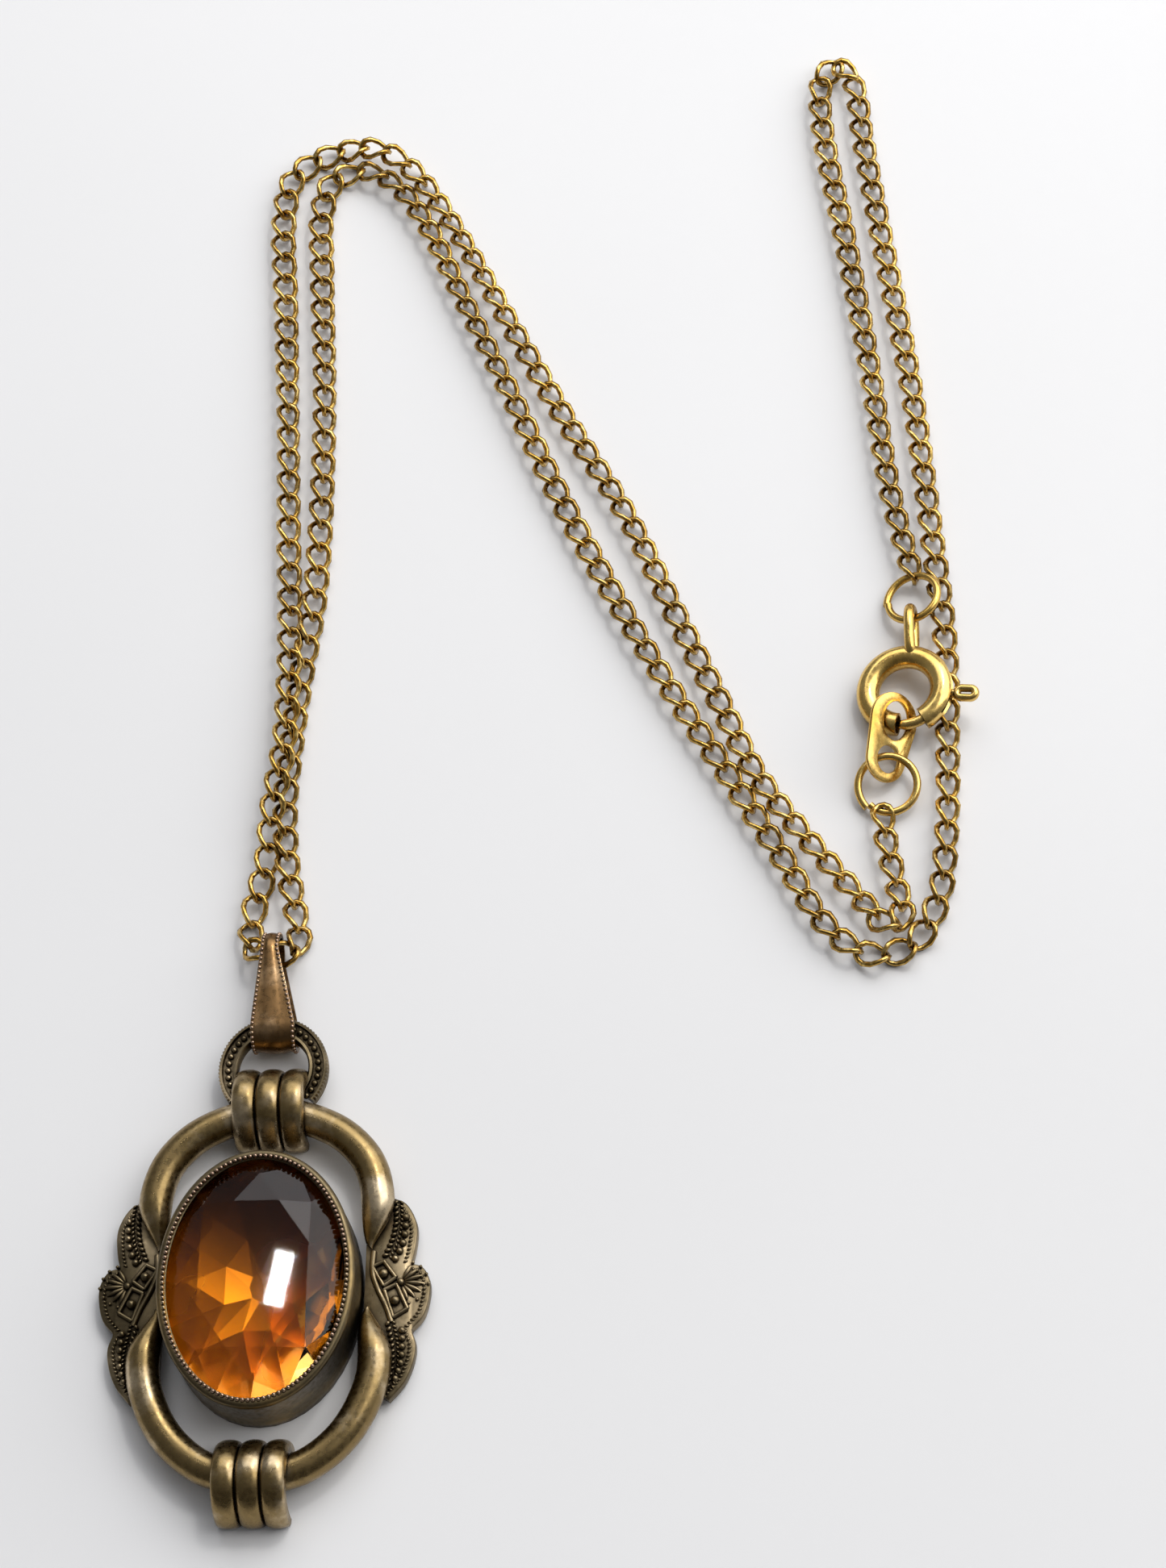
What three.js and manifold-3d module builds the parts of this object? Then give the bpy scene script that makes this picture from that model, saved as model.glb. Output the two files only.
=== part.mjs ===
// Pendant necklace: an amber glass stone in a brass openwork pendant, a folded bail,
// a fine curb chain and a spring ring clasp. Millimetres, +Z up, lying on its back on z = 0.
// +Y runs along the pendant towards the bail, and the pendant is symmetric about x = 0.
import * as THREE from 'three';
import { mergeVertices } from 'three/addons/utils/BufferGeometryUtils.js';
import Module from 'manifold-3d';

const wasm = await Module();
wasm.setup();

// ---------------------------------------------------------------- driving dimensions
const PENDANT_Y = -5.15;          // stone centre, from the middle of pendant and bail
const FIT_GAP = 0.06;             // between pieces that touch on the real object

const STONE = { halfLength: 9.0, halfWidth: 6.5, table: 0.6, girdleLow: 4.05, girdleHigh: 4.25, top: 5.65, culet: 1.2 };
const BEZEL = { halfLength: 9.45, halfWidth: 7.05, wall: 0.38, top: 5.1, back: 0.4 };
const FOIL = { thickness: 0.12, gap: 0.08 };

const ARCH = { radius: 1.2, height: 1.75, tipLength: 3.4, tipSlimmest: 0.22 };
const COLLAR = { y: 13.7, halfWidth: 2.6, reach: 3.2, height: 4.2, strap: 0.45, rib: 0.45, foot: 0.15 };
const RING = { y: 16.6, outer: 4.0, inner: 2.6, thickness: 0.9, height: 1.65 };
const WING = { low: 0.3, high: 1.4 };
const ARCH_GAP = 0.1;             // round the arches, which other pieces are cut to fit

const BAIL = { radius: 1.45, strip: 0.4, lowerY: 19.63, upperY: 25.55, height: 1.67, wide: 3.2, narrow: 1.3, lean: -0.5 };

const CHAIN = { width: 1.5, height: 1.05, sides: 8 };
const CLASP_RING = { x: 46.6, y: 48.35, z: 1.35, radius: 2.0, wire: 0.3, tilt: -9, roll: -20 };
const TAG_RING = { x: 44.5, y: 33.16, z: 0.92, radius: 2.17, wire: 0.3, tilt: 10, roll: -2 };
const SPRING_RING = { x: 45.9, y: 40.5, z: 1.55, radius: 2.78, tube: 0.83, bore: 0.56, roll: -10 };
const GAP_ANGLES = { left: -102, right: -62 };
const GATE = { radius: 0.4, tip: -105, tail: -5, knobAngle: -9, knobReach: 4.55, knobRadius: 0.52, knobWire: 0.24 };
const SLOT = { from: -40, to: 34, halfWidth: 0.3 };
const EYE = { wire: 0.4, reach: 6.7, spread: 0.9, root: 3.0 };
const COIL = { radius: 0.36, wire: 0.09, from: -2, to: 56, turns: 7 };
const TAG = { thickness: 0.34, headRadius: 1.95, tailRadius: 1.55, length: 3.05, headHole: [1.08, 1.4], tailHole: [0.98, 1.05] };
const TAG_PLACE = { x: 45.14, y: 38.0, z: 1.63, turn: -12.5, pitch: 6.3, roll: 42.4 };

// Route of the chain from the middle of the bail to the clasp's jump ring.
const CLASP_SIDE_ROUTE = [
  [-0.24, 20.45, 1.66], [0.45, 20.6, 1.66], [1.0, 21.2, 1.25], [1.15, 22.4, 0.68], [0.75, 24.6, 0.56],
  [0.1, 28.0, 0.56], [-0.3, 32.6, 0.56], [-0.1, 37.5, 0.56], [0.4, 43.5, 0.56], [1.1, 49.8, 0.56],
  [1.3, 58.0, 0.56], [1.1, 68.5, 0.56], [0.4, 79.5, 0.56], [0.2, 85.6, 0.56], [1.2, 88.4, 0.56],
  [3.6, 88.9, 0.56], [6.1, 87.3, 0.56], [8.6, 83.6, 0.56], [11.7, 76.6, 0.56], [15.4, 68.4, 0.56],
  [19.5, 58.9, 0.56], [23.7, 50.3, 0.56], [28.5, 41.4, 0.56], [32.7, 34.4, 0.56], [36.9, 27.2, 0.56],
  [39.4, 22.7, 0.56], [41.4, 20.6, 0.56], [43.8, 19.7, 0.56], [46.2, 20.6, 0.56], [47.9, 23.6, 0.56],
  [48.7, 29.0, 0.56], [48.95, 37.0, 0.56], [48.95, 44.6, 0.56], [48.1, 54.3, 0.56], [46.8, 67.0, 0.56],
  [44.9, 79.6, 0.56], [43.4, 90.0, 0.56], [42.8, 94.9, 0.56], [41.6, 97.1, 0.56], [40.2, 95.4, 0.56],
  [40.2, 91.2, 0.56], [41.8, 81.2, 0.56], [43.4, 70.6, 0.56], [45.1, 57.6, 0.56], [46.5, 51.1, 0.56],
];

// Route of the chain from the middle of the bail to the tag's jump ring.
const TAG_SIDE_ROUTE = [
  [-0.76, 20.45, 1.66], [-1.45, 20.6, 1.66], [-2.05, 21.2, 1.25], [-2.4, 22.4, 0.68], [-2.2, 24.6, 0.56],
  [-1.5, 27.8, 1.0], [-1.1, 32.6, 1.7], [-0.5, 37.5, 1.76], [-0.4, 43.5, 1.74], [-0.6, 47.6, 1.3],
  [-1.0, 53.0, 0.56], [-1.6, 64.8, 0.56], [-2.4, 77.0, 0.56], [-2.9, 84.6, 0.56], [-2.3, 88.4, 0.56],
  [-0.1, 90.3, 0.6], [2.6, 90.8, 1.1], [4.9, 90.2, 1.72], [6.9, 89.1, 1.2], [9.0, 86.4, 0.56],
  [11.9, 81.3, 0.56], [15.8, 73.5, 0.56], [20.3, 64.8, 0.56], [25.0, 56.4, 0.56], [29.2, 46.8, 0.56],
  [32.0, 40.6, 0.56], [34.8, 34.4, 0.56], [38.0, 29.7, 0.56], [41.5, 25.2, 0.56], [43.4, 22.9, 0.9],
  [44.6, 21.6, 1.66], [45.3, 22.6, 1.3], [45.0, 25.0, 0.62], [44.4, 28.0, 0.56], [44.15, 30.3, 0.56],
];

// ---------------------------------------------------------------- finishes
const FINISH = {
  agedBrass: { color: 0x8f7c4d, roughness: 0.42, metalness: 1.0 },
  darkBrass: { color: 0x5c5038, roughness: 0.55, metalness: 1.0 },
  copper: { color: 0x86623a, roughness: 0.4, metalness: 1.0 },
  gold: { color: 0xc79a3a, roughness: 0.28, metalness: 1.0 },
  steel: { color: 0x9a9a98, roughness: 0.35, metalness: 1.0 },
  amber: { color: 0xd9780f, roughness: 0.05, metalness: 0.0 },
  foil: { color: 0xcaa24e, roughness: 0.3, metalness: 1.0 },
};

const necklace = new THREE.Group();
const pendant = new THREE.Group();
pendant.position.y = PENDANT_Y;
necklace.add(pendant);

function piece(group, name, geometry, finish) {
  const mesh = new THREE.Mesh(geometry, new THREE.MeshStandardMaterial(FINISH[finish]));
  mesh.name = name;
  group.add(mesh);
  return mesh;
}

// ---------------------------------------------------------------- shape helpers
const radians = THREE.MathUtils.degToRad;

function toSolid(geometry) {
  const bare = geometry.clone();
  bare.deleteAttribute('normal');
  bare.deleteAttribute('uv');
  const merged = mergeVertices(bare, 1e-4);
  return new wasm.Manifold(new wasm.Mesh({
    numProp: 3,
    vertProperties: new Float32Array(merged.attributes.position.array),
    triVerts: new Uint32Array(merged.index.array),
  }));
}

function toGeometry(solid) {
  const mesh = solid.getMesh();
  const geometry = new THREE.BufferGeometry();
  geometry.setAttribute('position', new THREE.BufferAttribute(mesh.vertProperties, 3));
  geometry.setIndex(new THREE.BufferAttribute(mesh.triVerts, 1));
  return geometry;
}

function cut(geometry, ...tools) {
  const solid = tools.reduce((left, tool) => left.subtract(toSolid(tool)), toSolid(geometry));
  return toGeometry(solid);
}

function join(...geometries) {
  const [first, ...rest] = geometries.map(toSolid);
  return toGeometry(rest.reduce((all, solid) => all.add(solid), first));
}

// Moves each vertex of a geometry with a function of its place.
function reshape(geometry, move) {
  const position = geometry.attributes.position;
  const point = new THREE.Vector3();
  for (let i = 0; i < position.count; i += 1) {
    point.fromBufferAttribute(position, i);
    move(point);
    position.setXYZ(i, point.x, point.y, point.z);
  }
  return geometry;
}

function circleShape(radius, sides, hole = 0) {
  const ring = (size) => Array.from({ length: sides }, (_, i) => {
    const angle = (2 * Math.PI * i) / sides;
    return new THREE.Vector2(size * Math.cos(angle), size * Math.sin(angle));
  });
  const shape = new THREE.Shape(ring(radius));
  if (hole > 0) shape.holes.push(new THREE.Path(ring(hole)));
  return shape;
}

// A smooth curve that a sweep steps along at its own points.
class Route extends THREE.CatmullRomCurve3 {
  constructor(points) {
    super(points.map((p) => new THREE.Vector3(...p)), false, 'centripetal');
  }

  getUtoTmapping(u) {
    return u;
  }
}

class Arc extends THREE.Curve {
  constructor(radius, from, to) {
    super();
    this.radius = radius;
    this.from = radians(from);
    this.to = radians(to);
  }

  getPoint(t, target = new THREE.Vector3()) {
    const angle = this.from + (this.to - this.from) * t;
    return target.set(this.radius * Math.cos(angle), this.radius * Math.sin(angle), 0);
  }
}

function sweep(shape, path, steps) {
  return new THREE.ExtrudeGeometry(shape, { steps, extrudePath: path, bevelEnabled: false });
}

// A profile of [radius, height] points turned about Z.
function turned(profile, segments) {
  const points = profile.map(([r, z]) => new THREE.Vector2(r, z));
  return new THREE.LatheGeometry(points, segments).rotateX(Math.PI / 2);
}

// A turned shape whose radius is measured along Y and is smaller along X by the same step all round.
function ovalWall(profile, segments, step) {
  return reshape(turned(profile, segments), (p) => {
    const r = Math.hypot(p.x, p.y);
    if (r > step) p.x *= (r - step) / r;
  });
}

const OVAL_STEP = BEZEL.halfLength - BEZEL.halfWidth;

// ---------------------------------------------------------------- stone and setting
function stoneGeometry() {
  const { halfLength, halfWidth, table, girdleLow, girdleHigh, top, culet } = STONE;
  const profile = [[0, culet], [halfLength * 0.5, culet + 1.45], [halfLength, girdleLow],
    [halfLength, girdleHigh], [halfLength * table, top], [0, top]];
  return turned(profile, 32).scale(halfWidth / halfLength, 1, 1);
}

function foilGeometry() {
  const { halfLength, halfWidth, girdleLow, culet } = STONE;
  const { thickness, gap } = FOIL;
  const high = -gap;
  const low = -gap - thickness;
  const rim = halfLength * 0.94;
  const rimZ = girdleLow - 0.12;
  const profile = [[0, culet + low], [halfLength * 0.5, culet + 1.45 + low], [rim, rimZ + low],
    [rim, rimZ + high], [halfLength * 0.5, culet + 1.45 + high], [0, culet + high]];
  return turned(profile, 32).scale(halfWidth / halfLength, 1, 1);
}

function bezelWallGeometry() {
  const { halfLength, wall, top, back } = BEZEL;
  const inside = halfLength - wall;
  const foot = back + FIT_GAP;
  const lip = halfLength - 0.68;
  const profile = [[inside, foot], [halfLength, foot], [halfLength, top - 0.45], [halfLength - 0.18, top - 0.08],
    [halfLength - 0.42, top], [lip, top - 0.2], [lip, top - 0.42], [inside, top - 0.55], [inside, foot]];
  return ovalWall(profile, 40, OVAL_STEP);
}

function bezelBackGeometry() {
  const oval = new THREE.Shape();
  oval.absellipse(0, 0, BEZEL.halfWidth, BEZEL.halfLength, 0, 2 * Math.PI);
  return new THREE.ExtrudeGeometry(oval, { depth: BEZEL.back, bevelEnabled: false, curveSegments: 20 });
}

piece(pendant, 'stone', stoneGeometry(), 'amber');
piece(pendant, 'foil_backing', foilGeometry(), 'foil');
piece(pendant, 'bezel_wall', bezelWallGeometry(), 'agedBrass');
piece(pendant, 'bezel_back', bezelBackGeometry(), 'darkBrass');

// ---------------------------------------------------------------- arches
// Half of each arch, from its tip beside the setting to the middle of the collar.
const UPPER_HALF = [[7.65, 3.2], [7.95, 5.0], [7.95, 7.0], [7.5, 8.8], [6.75, 10.1], [5.3, 11.5], [3.4, 12.5], [1.6, 13.0]];
const LOWER_HALF = [[7.6, -1.4], [8.0, -3.2], [8.2, -5.0], [8.05, -6.6], [7.5, -8.3], [6.6, -10.0], [5.3, -11.5],
  [3.5, -12.75], [1.7, -13.3]];
const UPPER_CROWN = 13.15;
const LOWER_CROWN = -13.45;

function archPath(half, crown) {
  const right = half.map(([x, y]) => [x, y, ARCH.height]);
  const left = half.map(([x, y]) => [-x, y, ARCH.height]).reverse();
  return new Route([...right, [0, crown, ARCH.height], ...left]);
}

// The tube thins towards each tip, and its inner side stays straight beside the setting.
function taperTips(geometry, tip, towards) {
  const innerX = tip[0] - ARCH.radius * ARCH.tipSlimmest;
  return reshape(geometry, (p) => {
    const along = THREE.MathUtils.clamp(((p.y - tip[1]) * towards) / ARCH.tipLength, 0, 1);
    const keep = ARCH.tipSlimmest + (1 - ARCH.tipSlimmest) * Math.sin((along * Math.PI) / 2);
    const side = Math.sign(p.x);
    if (along < 1) p.x = side * (innerX + (Math.abs(p.x) - innerX) * keep);
    p.z = ARCH.height + (p.z - ARCH.height) * keep;
  });
}

function archGeometry(half, crown, radius = ARCH.radius, sides = 10) {
  const path = archPath(half, crown);
  const geometry = sweep(circleShape(radius, sides), path, 2 * half.length + 4);
  return taperTips(geometry, half[0], Math.sign(crown));
}

piece(pendant, 'upper_arch', archGeometry(UPPER_HALF, UPPER_CROWN), 'agedBrass');
piece(pendant, 'lower_arch', archGeometry(LOWER_HALF, LOWER_CROWN), 'agedBrass');

// ---------------------------------------------------------------- collars
// A strap with three rounded ribs, bent over the arch in half an oval.
class CollarPath extends THREE.Curve {
  getPoint(t, target = new THREE.Vector3()) {
    const angle = Math.PI * (1 - t);
    const reach = COLLAR.reach - COLLAR.rib - COLLAR.strap;
    const rise = COLLAR.height - COLLAR.rib - COLLAR.strap - COLLAR.foot;
    return target.set(0, reach * Math.cos(angle), COLLAR.foot + rise * Math.sin(angle));
  }
}

function collarSection() {
  const section = new THREE.Shape();
  const ribWidth = (2 * COLLAR.halfWidth) / 3;
  section.moveTo(-COLLAR.halfWidth, 0);
  section.lineTo(COLLAR.halfWidth, 0);
  for (let rib = 0; rib < 3; rib += 1) {
    const right = COLLAR.halfWidth - rib * ribWidth;
    section.lineTo(right, COLLAR.strap);
    section.lineTo(right - ribWidth * 0.22, COLLAR.strap + COLLAR.rib);
    section.lineTo(right - ribWidth * 0.78, COLLAR.strap + COLLAR.rib);
  }
  section.lineTo(-COLLAR.halfWidth, COLLAR.strap);
  return section;
}

function collarGeometry(y, archRoom) {
  return cut(sweep(collarSection(), new CollarPath(), 12).translate(0, y, 0), archRoom);
}

const upperArchRoom = archGeometry(UPPER_HALF, UPPER_CROWN, ARCH.radius + ARCH_GAP);
const lowerArchRoom = archGeometry(LOWER_HALF, LOWER_CROWN, ARCH.radius + ARCH_GAP);
piece(pendant, 'upper_collar', collarGeometry(COLLAR.y, upperArchRoom), 'agedBrass');
piece(pendant, 'lower_collar', collarGeometry(-COLLAR.y, lowerArchRoom), 'agedBrass');

// ---------------------------------------------------------------- hanging ring
function hangingRingGeometry() {
  const { outer, inner, thickness, height, y } = RING;
  const low = height - thickness / 2;
  const high = height + thickness / 2;
  const profile = [[inner, low], [outer, low], [outer, high], [inner, high], [inner, low]];
  const ring = turned(profile, 32).translate(0, y, 0);
  const room = 2 * (COLLAR.halfWidth + FIT_GAP);
  const collarRoom = new THREE.BoxGeometry(room, 2 * COLLAR.reach + 2 * FIT_GAP, 2 * COLLAR.height);
  collarRoom.translate(0, COLLAR.y, 0);
  const below = new THREE.BoxGeometry(4 * outer, 2 * outer, 2 * COLLAR.height).translate(0, UPPER_CROWN - outer, 0);
  return cut(ring, collarRoom, upperArchRoom, below);
}

piece(pendant, 'hanging_ring', hangingRingGeometry(), 'darkBrass');

// ---------------------------------------------------------------- wings
function wingOutline() {
  const outline = new THREE.Shape();
  outline.moveTo(7.0, 6.4);
  outline.lineTo(8.9, 6.75);
  outline.quadraticCurveTo(10.5, 5.4, 10.62, 3.4);
  outline.lineTo(10.5, 2.15);
  outline.quadraticCurveTo(11.75, 1.2, 11.75, -0.25);
  outline.quadraticCurveTo(11.7, -1.9, 10.6, -2.9);
  outline.quadraticCurveTo(11.1, -4.2, 10.7, -5.5);
  outline.quadraticCurveTo(10.3, -6.9, 9.2, -8.0);
  outline.lineTo(7.0, -6.6);
  return outline;
}

function rightWingGeometry() {
  const depth = WING.high - WING.low;
  const slab = new THREE.ExtrudeGeometry(wingOutline(), { depth, bevelEnabled: false, curveSegments: 5 });
  slab.translate(0, 0, WING.low);
  const profile = [[0, -1], [BEZEL.halfLength + FIT_GAP, -1], [BEZEL.halfLength + FIT_GAP, 9], [0, 9]];
  const settingRoom = turned(profile, 40);
  settingRoom.scale((BEZEL.halfWidth + FIT_GAP) / (BEZEL.halfLength + FIT_GAP), 1, 1);
  return cut(slab, settingRoom, upperArchRoom, lowerArchRoom);
}

function mirrored(geometry) {
  const flat = geometry.clone().scale(-1, 1, 1);
  const index = flat.index.array;
  for (let i = 0; i < index.length; i += 3) {
    [index[i], index[i + 1]] = [index[i + 1], index[i]];
  }
  return flat;
}

const rightWing = rightWingGeometry();
piece(pendant, 'right_wing', rightWing, 'darkBrass');
piece(pendant, 'left_wing', mirrored(rightWing), 'darkBrass');

// ---------------------------------------------------------------- bail
// A strip folded into a long loop, whose ends meet over the chain.
class BailPath extends THREE.Curve {
  getPoint(t, target = new THREE.Vector3()) {
    const { radius, lowerY, upperY, height } = BAIL;
    const straight = upperY - lowerY;
    const bend = Math.PI * radius;
    const seam = 0.03;
    const total = 2 * (straight + bend) - 2 * seam;
    const along = seam + t * total;
    const quarter = bend / 2;
    if (along < quarter) {
      const angle = along / radius;
      return target.set(0, upperY + radius * Math.cos(angle), height + radius * Math.sin(angle));
    }
    if (along < quarter + straight) return target.set(0, upperY - (along - quarter), height + radius);
    if (along < quarter + straight + bend) {
      const angle = (along - quarter - straight) / radius;
      return target.set(0, lowerY - radius * Math.sin(angle), height + radius * Math.cos(angle));
    }
    if (along < quarter + 2 * straight + bend) {
      return target.set(0, lowerY + (along - quarter - straight - bend), height - radius);
    }
    const angle = (along - quarter - 2 * straight - bend) / radius;
    return target.set(0, upperY + radius * Math.sin(angle), height - radius * Math.cos(angle));
  }
}

function bailGeometry() {
  const { strip, wide, narrow, lowerY, upperY, lean } = BAIL;
  const section = new THREE.Shape();
  section.moveTo(-0.5, -strip / 2);
  section.lineTo(0.5, -strip / 2);
  section.lineTo(0.5, strip / 2);
  section.lineTo(-0.5, strip / 2);
  const geometry = sweep(section, new BailPath(), 36);
  return reshape(geometry, (p) => {
    const along = THREE.MathUtils.clamp((p.y - lowerY) / (upperY - lowerY), 0, 1);
    p.x = p.x * (wide + (narrow - wide) * along) + lean * along;
  });
}

piece(pendant, 'bail', bailGeometry(), 'copper');

// ---------------------------------------------------------------- chain
function chainGeometry(route) {
  const section = circleShape(0.5, CHAIN.sides);
  const points = section.getPoints().map((p) => new THREE.Vector2(p.x * CHAIN.height, p.y * CHAIN.width));
  return sweep(new THREE.Shape(points), new Route(route), route.length - 1);
}

piece(necklace, 'chain_clasp_side', chainGeometry(CLASP_SIDE_ROUTE), 'gold');
piece(necklace, 'chain_tag_side', chainGeometry(TAG_SIDE_ROUTE), 'gold');

// ---------------------------------------------------------------- jump rings
function jumpRing(name, { x, y, z, radius, wire, tilt, roll }) {
  const mesh = piece(necklace, name, new THREE.TorusGeometry(radius, wire, 8, 24), 'gold');
  mesh.position.set(x, y, z);
  mesh.rotation.set(radians(tilt), radians(roll), 0);
}

jumpRing('clasp_jump_ring', CLASP_RING);
jumpRing('tag_jump_ring', TAG_RING);

// ---------------------------------------------------------------- spring ring clasp
const springRing = new THREE.Group();
springRing.position.set(SPRING_RING.x, SPRING_RING.y, SPRING_RING.z);
springRing.rotation.y = radians(SPRING_RING.roll);
necklace.add(springRing);

function springRingBody() {
  const { radius, tube, bore } = SPRING_RING;
  const arc = new Arc(radius, GAP_ANGLES.right, GAP_ANGLES.left + 360);
  const hollow = sweep(circleShape(tube, 12, bore), arc, 28);
  const depth = 2 * SLOT.halfWidth;
  const sector = new THREE.Shape();
  sector.absarc(0, 0, radius + 2 * tube, radians(SLOT.from), radians(SLOT.to), false);
  sector.absarc(0, 0, radius, radians(SLOT.to), radians(SLOT.from), true);
  const slot = new THREE.ExtrudeGeometry(sector, { depth, bevelEnabled: false, curveSegments: 8 });
  return cut(hollow, slot.translate(0, 0, -SLOT.halfWidth));
}

function springRingEye() {
  const { wire, reach, spread, root } = EYE;
  const points = [[root, 0.8 * spread], [root + 1.4, spread], [reach - 0.9, spread], [reach - 0.2, 0.55 * spread],
    [reach, 0], [reach - 0.2, -0.55 * spread], [reach - 0.9, -spread], [root + 1.4, -spread], [root, -0.8 * spread]];
  const loop = sweep(circleShape(wire, 8), new Route(points.map(([y, z]) => [0, y, z])), 16);
  const bodyRoom = new THREE.TorusGeometry(SPRING_RING.radius, SPRING_RING.tube + FIT_GAP, 12, 32);
  const ringInside = new THREE.CylinderGeometry(SPRING_RING.radius, SPRING_RING.radius, 4, 32).rotateX(Math.PI / 2);
  return cut(loop, bodyRoom, ringInside).translate(0.6, 0, 0);
}

function triggerGeometry() {
  const gate = sweep(circleShape(GATE.radius, 8), new Arc(SPRING_RING.radius, GATE.tip, GATE.tail), 12);
  const neckLength = GATE.knobReach - GATE.knobRadius - SPRING_RING.radius;
  const neck = new THREE.CylinderGeometry(GATE.knobWire, GATE.knobWire, neckLength, 8);
  neck.rotateZ(Math.PI / 2).translate(SPRING_RING.radius + neckLength / 2, 0, 0);
  const knob = new THREE.TorusGeometry(GATE.knobRadius, GATE.knobWire, 8, 14).translate(GATE.knobReach, 0, 0);
  const handle = [neck, knob].map((part) => part.rotateZ(radians(GATE.knobAngle)));
  return join(gate, ...handle);
}

class CoilPath extends THREE.Curve {
  getPoint(t, target = new THREE.Vector3()) {
    const along = radians(COIL.from + (COIL.to - COIL.from) * t);
    const turn = 2 * Math.PI * COIL.turns * t;
    const r = SPRING_RING.radius + COIL.radius * Math.cos(turn);
    return target.set(r * Math.cos(along), r * Math.sin(along), COIL.radius * Math.sin(turn));
  }
}

piece(springRing, 'spring_ring_body', springRingBody(), 'gold');
piece(springRing, 'spring_ring_eye', springRingEye(), 'gold');
piece(springRing, 'trigger', triggerGeometry(), 'gold');
piece(springRing, 'trigger_spring', sweep(circleShape(COIL.wire, 5), new CoilPath(), 9 * COIL.turns), 'steel');

// ---------------------------------------------------------------- connector tag
function tagGeometry() {
  const { headRadius, tailRadius, length, headHole, tailHole, thickness } = TAG;
  const outline = new THREE.Shape();
  const lean = Math.asin((headRadius - tailRadius) / length);
  outline.absarc(0, 0, headRadius, -lean, Math.PI + lean, false);
  outline.absarc(0, -length, tailRadius, Math.PI + lean, 2 * Math.PI - lean, false);
  for (const [[width, height], y] of [[headHole, 0], [tailHole, -length]]) {
    const hole = new THREE.Path();
    hole.absellipse(0, y, width, height, 0, 2 * Math.PI);
    outline.holes.push(hole);
  }
  const plate = new THREE.ExtrudeGeometry(outline, { depth: thickness, bevelEnabled: false, curveSegments: 10 });
  return plate.translate(0, 0, -thickness / 2);
}

const tag = piece(necklace, 'connector_tag', tagGeometry(), 'gold');
tag.position.set(TAG_PLACE.x, TAG_PLACE.y, TAG_PLACE.z);
tag.rotation.order = 'ZXY';
tag.rotation.set(radians(TAG_PLACE.pitch), radians(TAG_PLACE.roll), radians(TAG_PLACE.turn));

export default necklace;
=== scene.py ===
"""Pendant necklace: an amber stone in an aged brass frame, on a curb chain with a spring ring clasp.

Pieces are modelled in millimetres and become metres when they are published. +Y runs from the
pendant's lower collar to the bail, and +Z points up out of the surface the necklace lies on.
"""
import math

import bmesh
import bpy
from bpy.props import FloatProperty, FloatVectorProperty, PointerProperty
from bpy.types import Operator, Panel, PropertyGroup
from mathutils import Matrix, Vector, noise


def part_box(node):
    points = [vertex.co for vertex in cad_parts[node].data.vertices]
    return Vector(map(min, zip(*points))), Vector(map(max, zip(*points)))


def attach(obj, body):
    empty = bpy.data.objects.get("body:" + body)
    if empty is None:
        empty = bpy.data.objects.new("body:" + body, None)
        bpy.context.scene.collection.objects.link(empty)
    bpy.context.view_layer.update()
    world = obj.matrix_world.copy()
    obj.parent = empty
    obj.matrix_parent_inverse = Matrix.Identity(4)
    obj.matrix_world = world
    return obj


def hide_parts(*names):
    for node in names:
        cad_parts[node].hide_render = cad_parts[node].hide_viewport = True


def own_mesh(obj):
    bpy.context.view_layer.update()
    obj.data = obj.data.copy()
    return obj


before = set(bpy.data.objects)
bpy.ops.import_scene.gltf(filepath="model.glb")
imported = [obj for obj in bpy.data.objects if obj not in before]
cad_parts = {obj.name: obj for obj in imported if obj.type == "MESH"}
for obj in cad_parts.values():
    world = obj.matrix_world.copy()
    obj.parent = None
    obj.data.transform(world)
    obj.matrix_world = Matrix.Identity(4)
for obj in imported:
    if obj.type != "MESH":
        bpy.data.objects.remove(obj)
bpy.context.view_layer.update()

bl_info = {
    "name": "Pendant Necklace",
    "version": (1, 0, 0),
    "blender": (4, 5, 0),
    "location": "View3D > Sidebar > Necklace",
    "description": "Builds a pendant necklace piece by piece over its packed model",
    "category": "Object",
}

MM = 0.001
X_AXIS = Vector((1, 0, 0))
Z_AXIS = Vector((0, 0, 1))
FULL_TURN = 2 * math.pi

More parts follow.
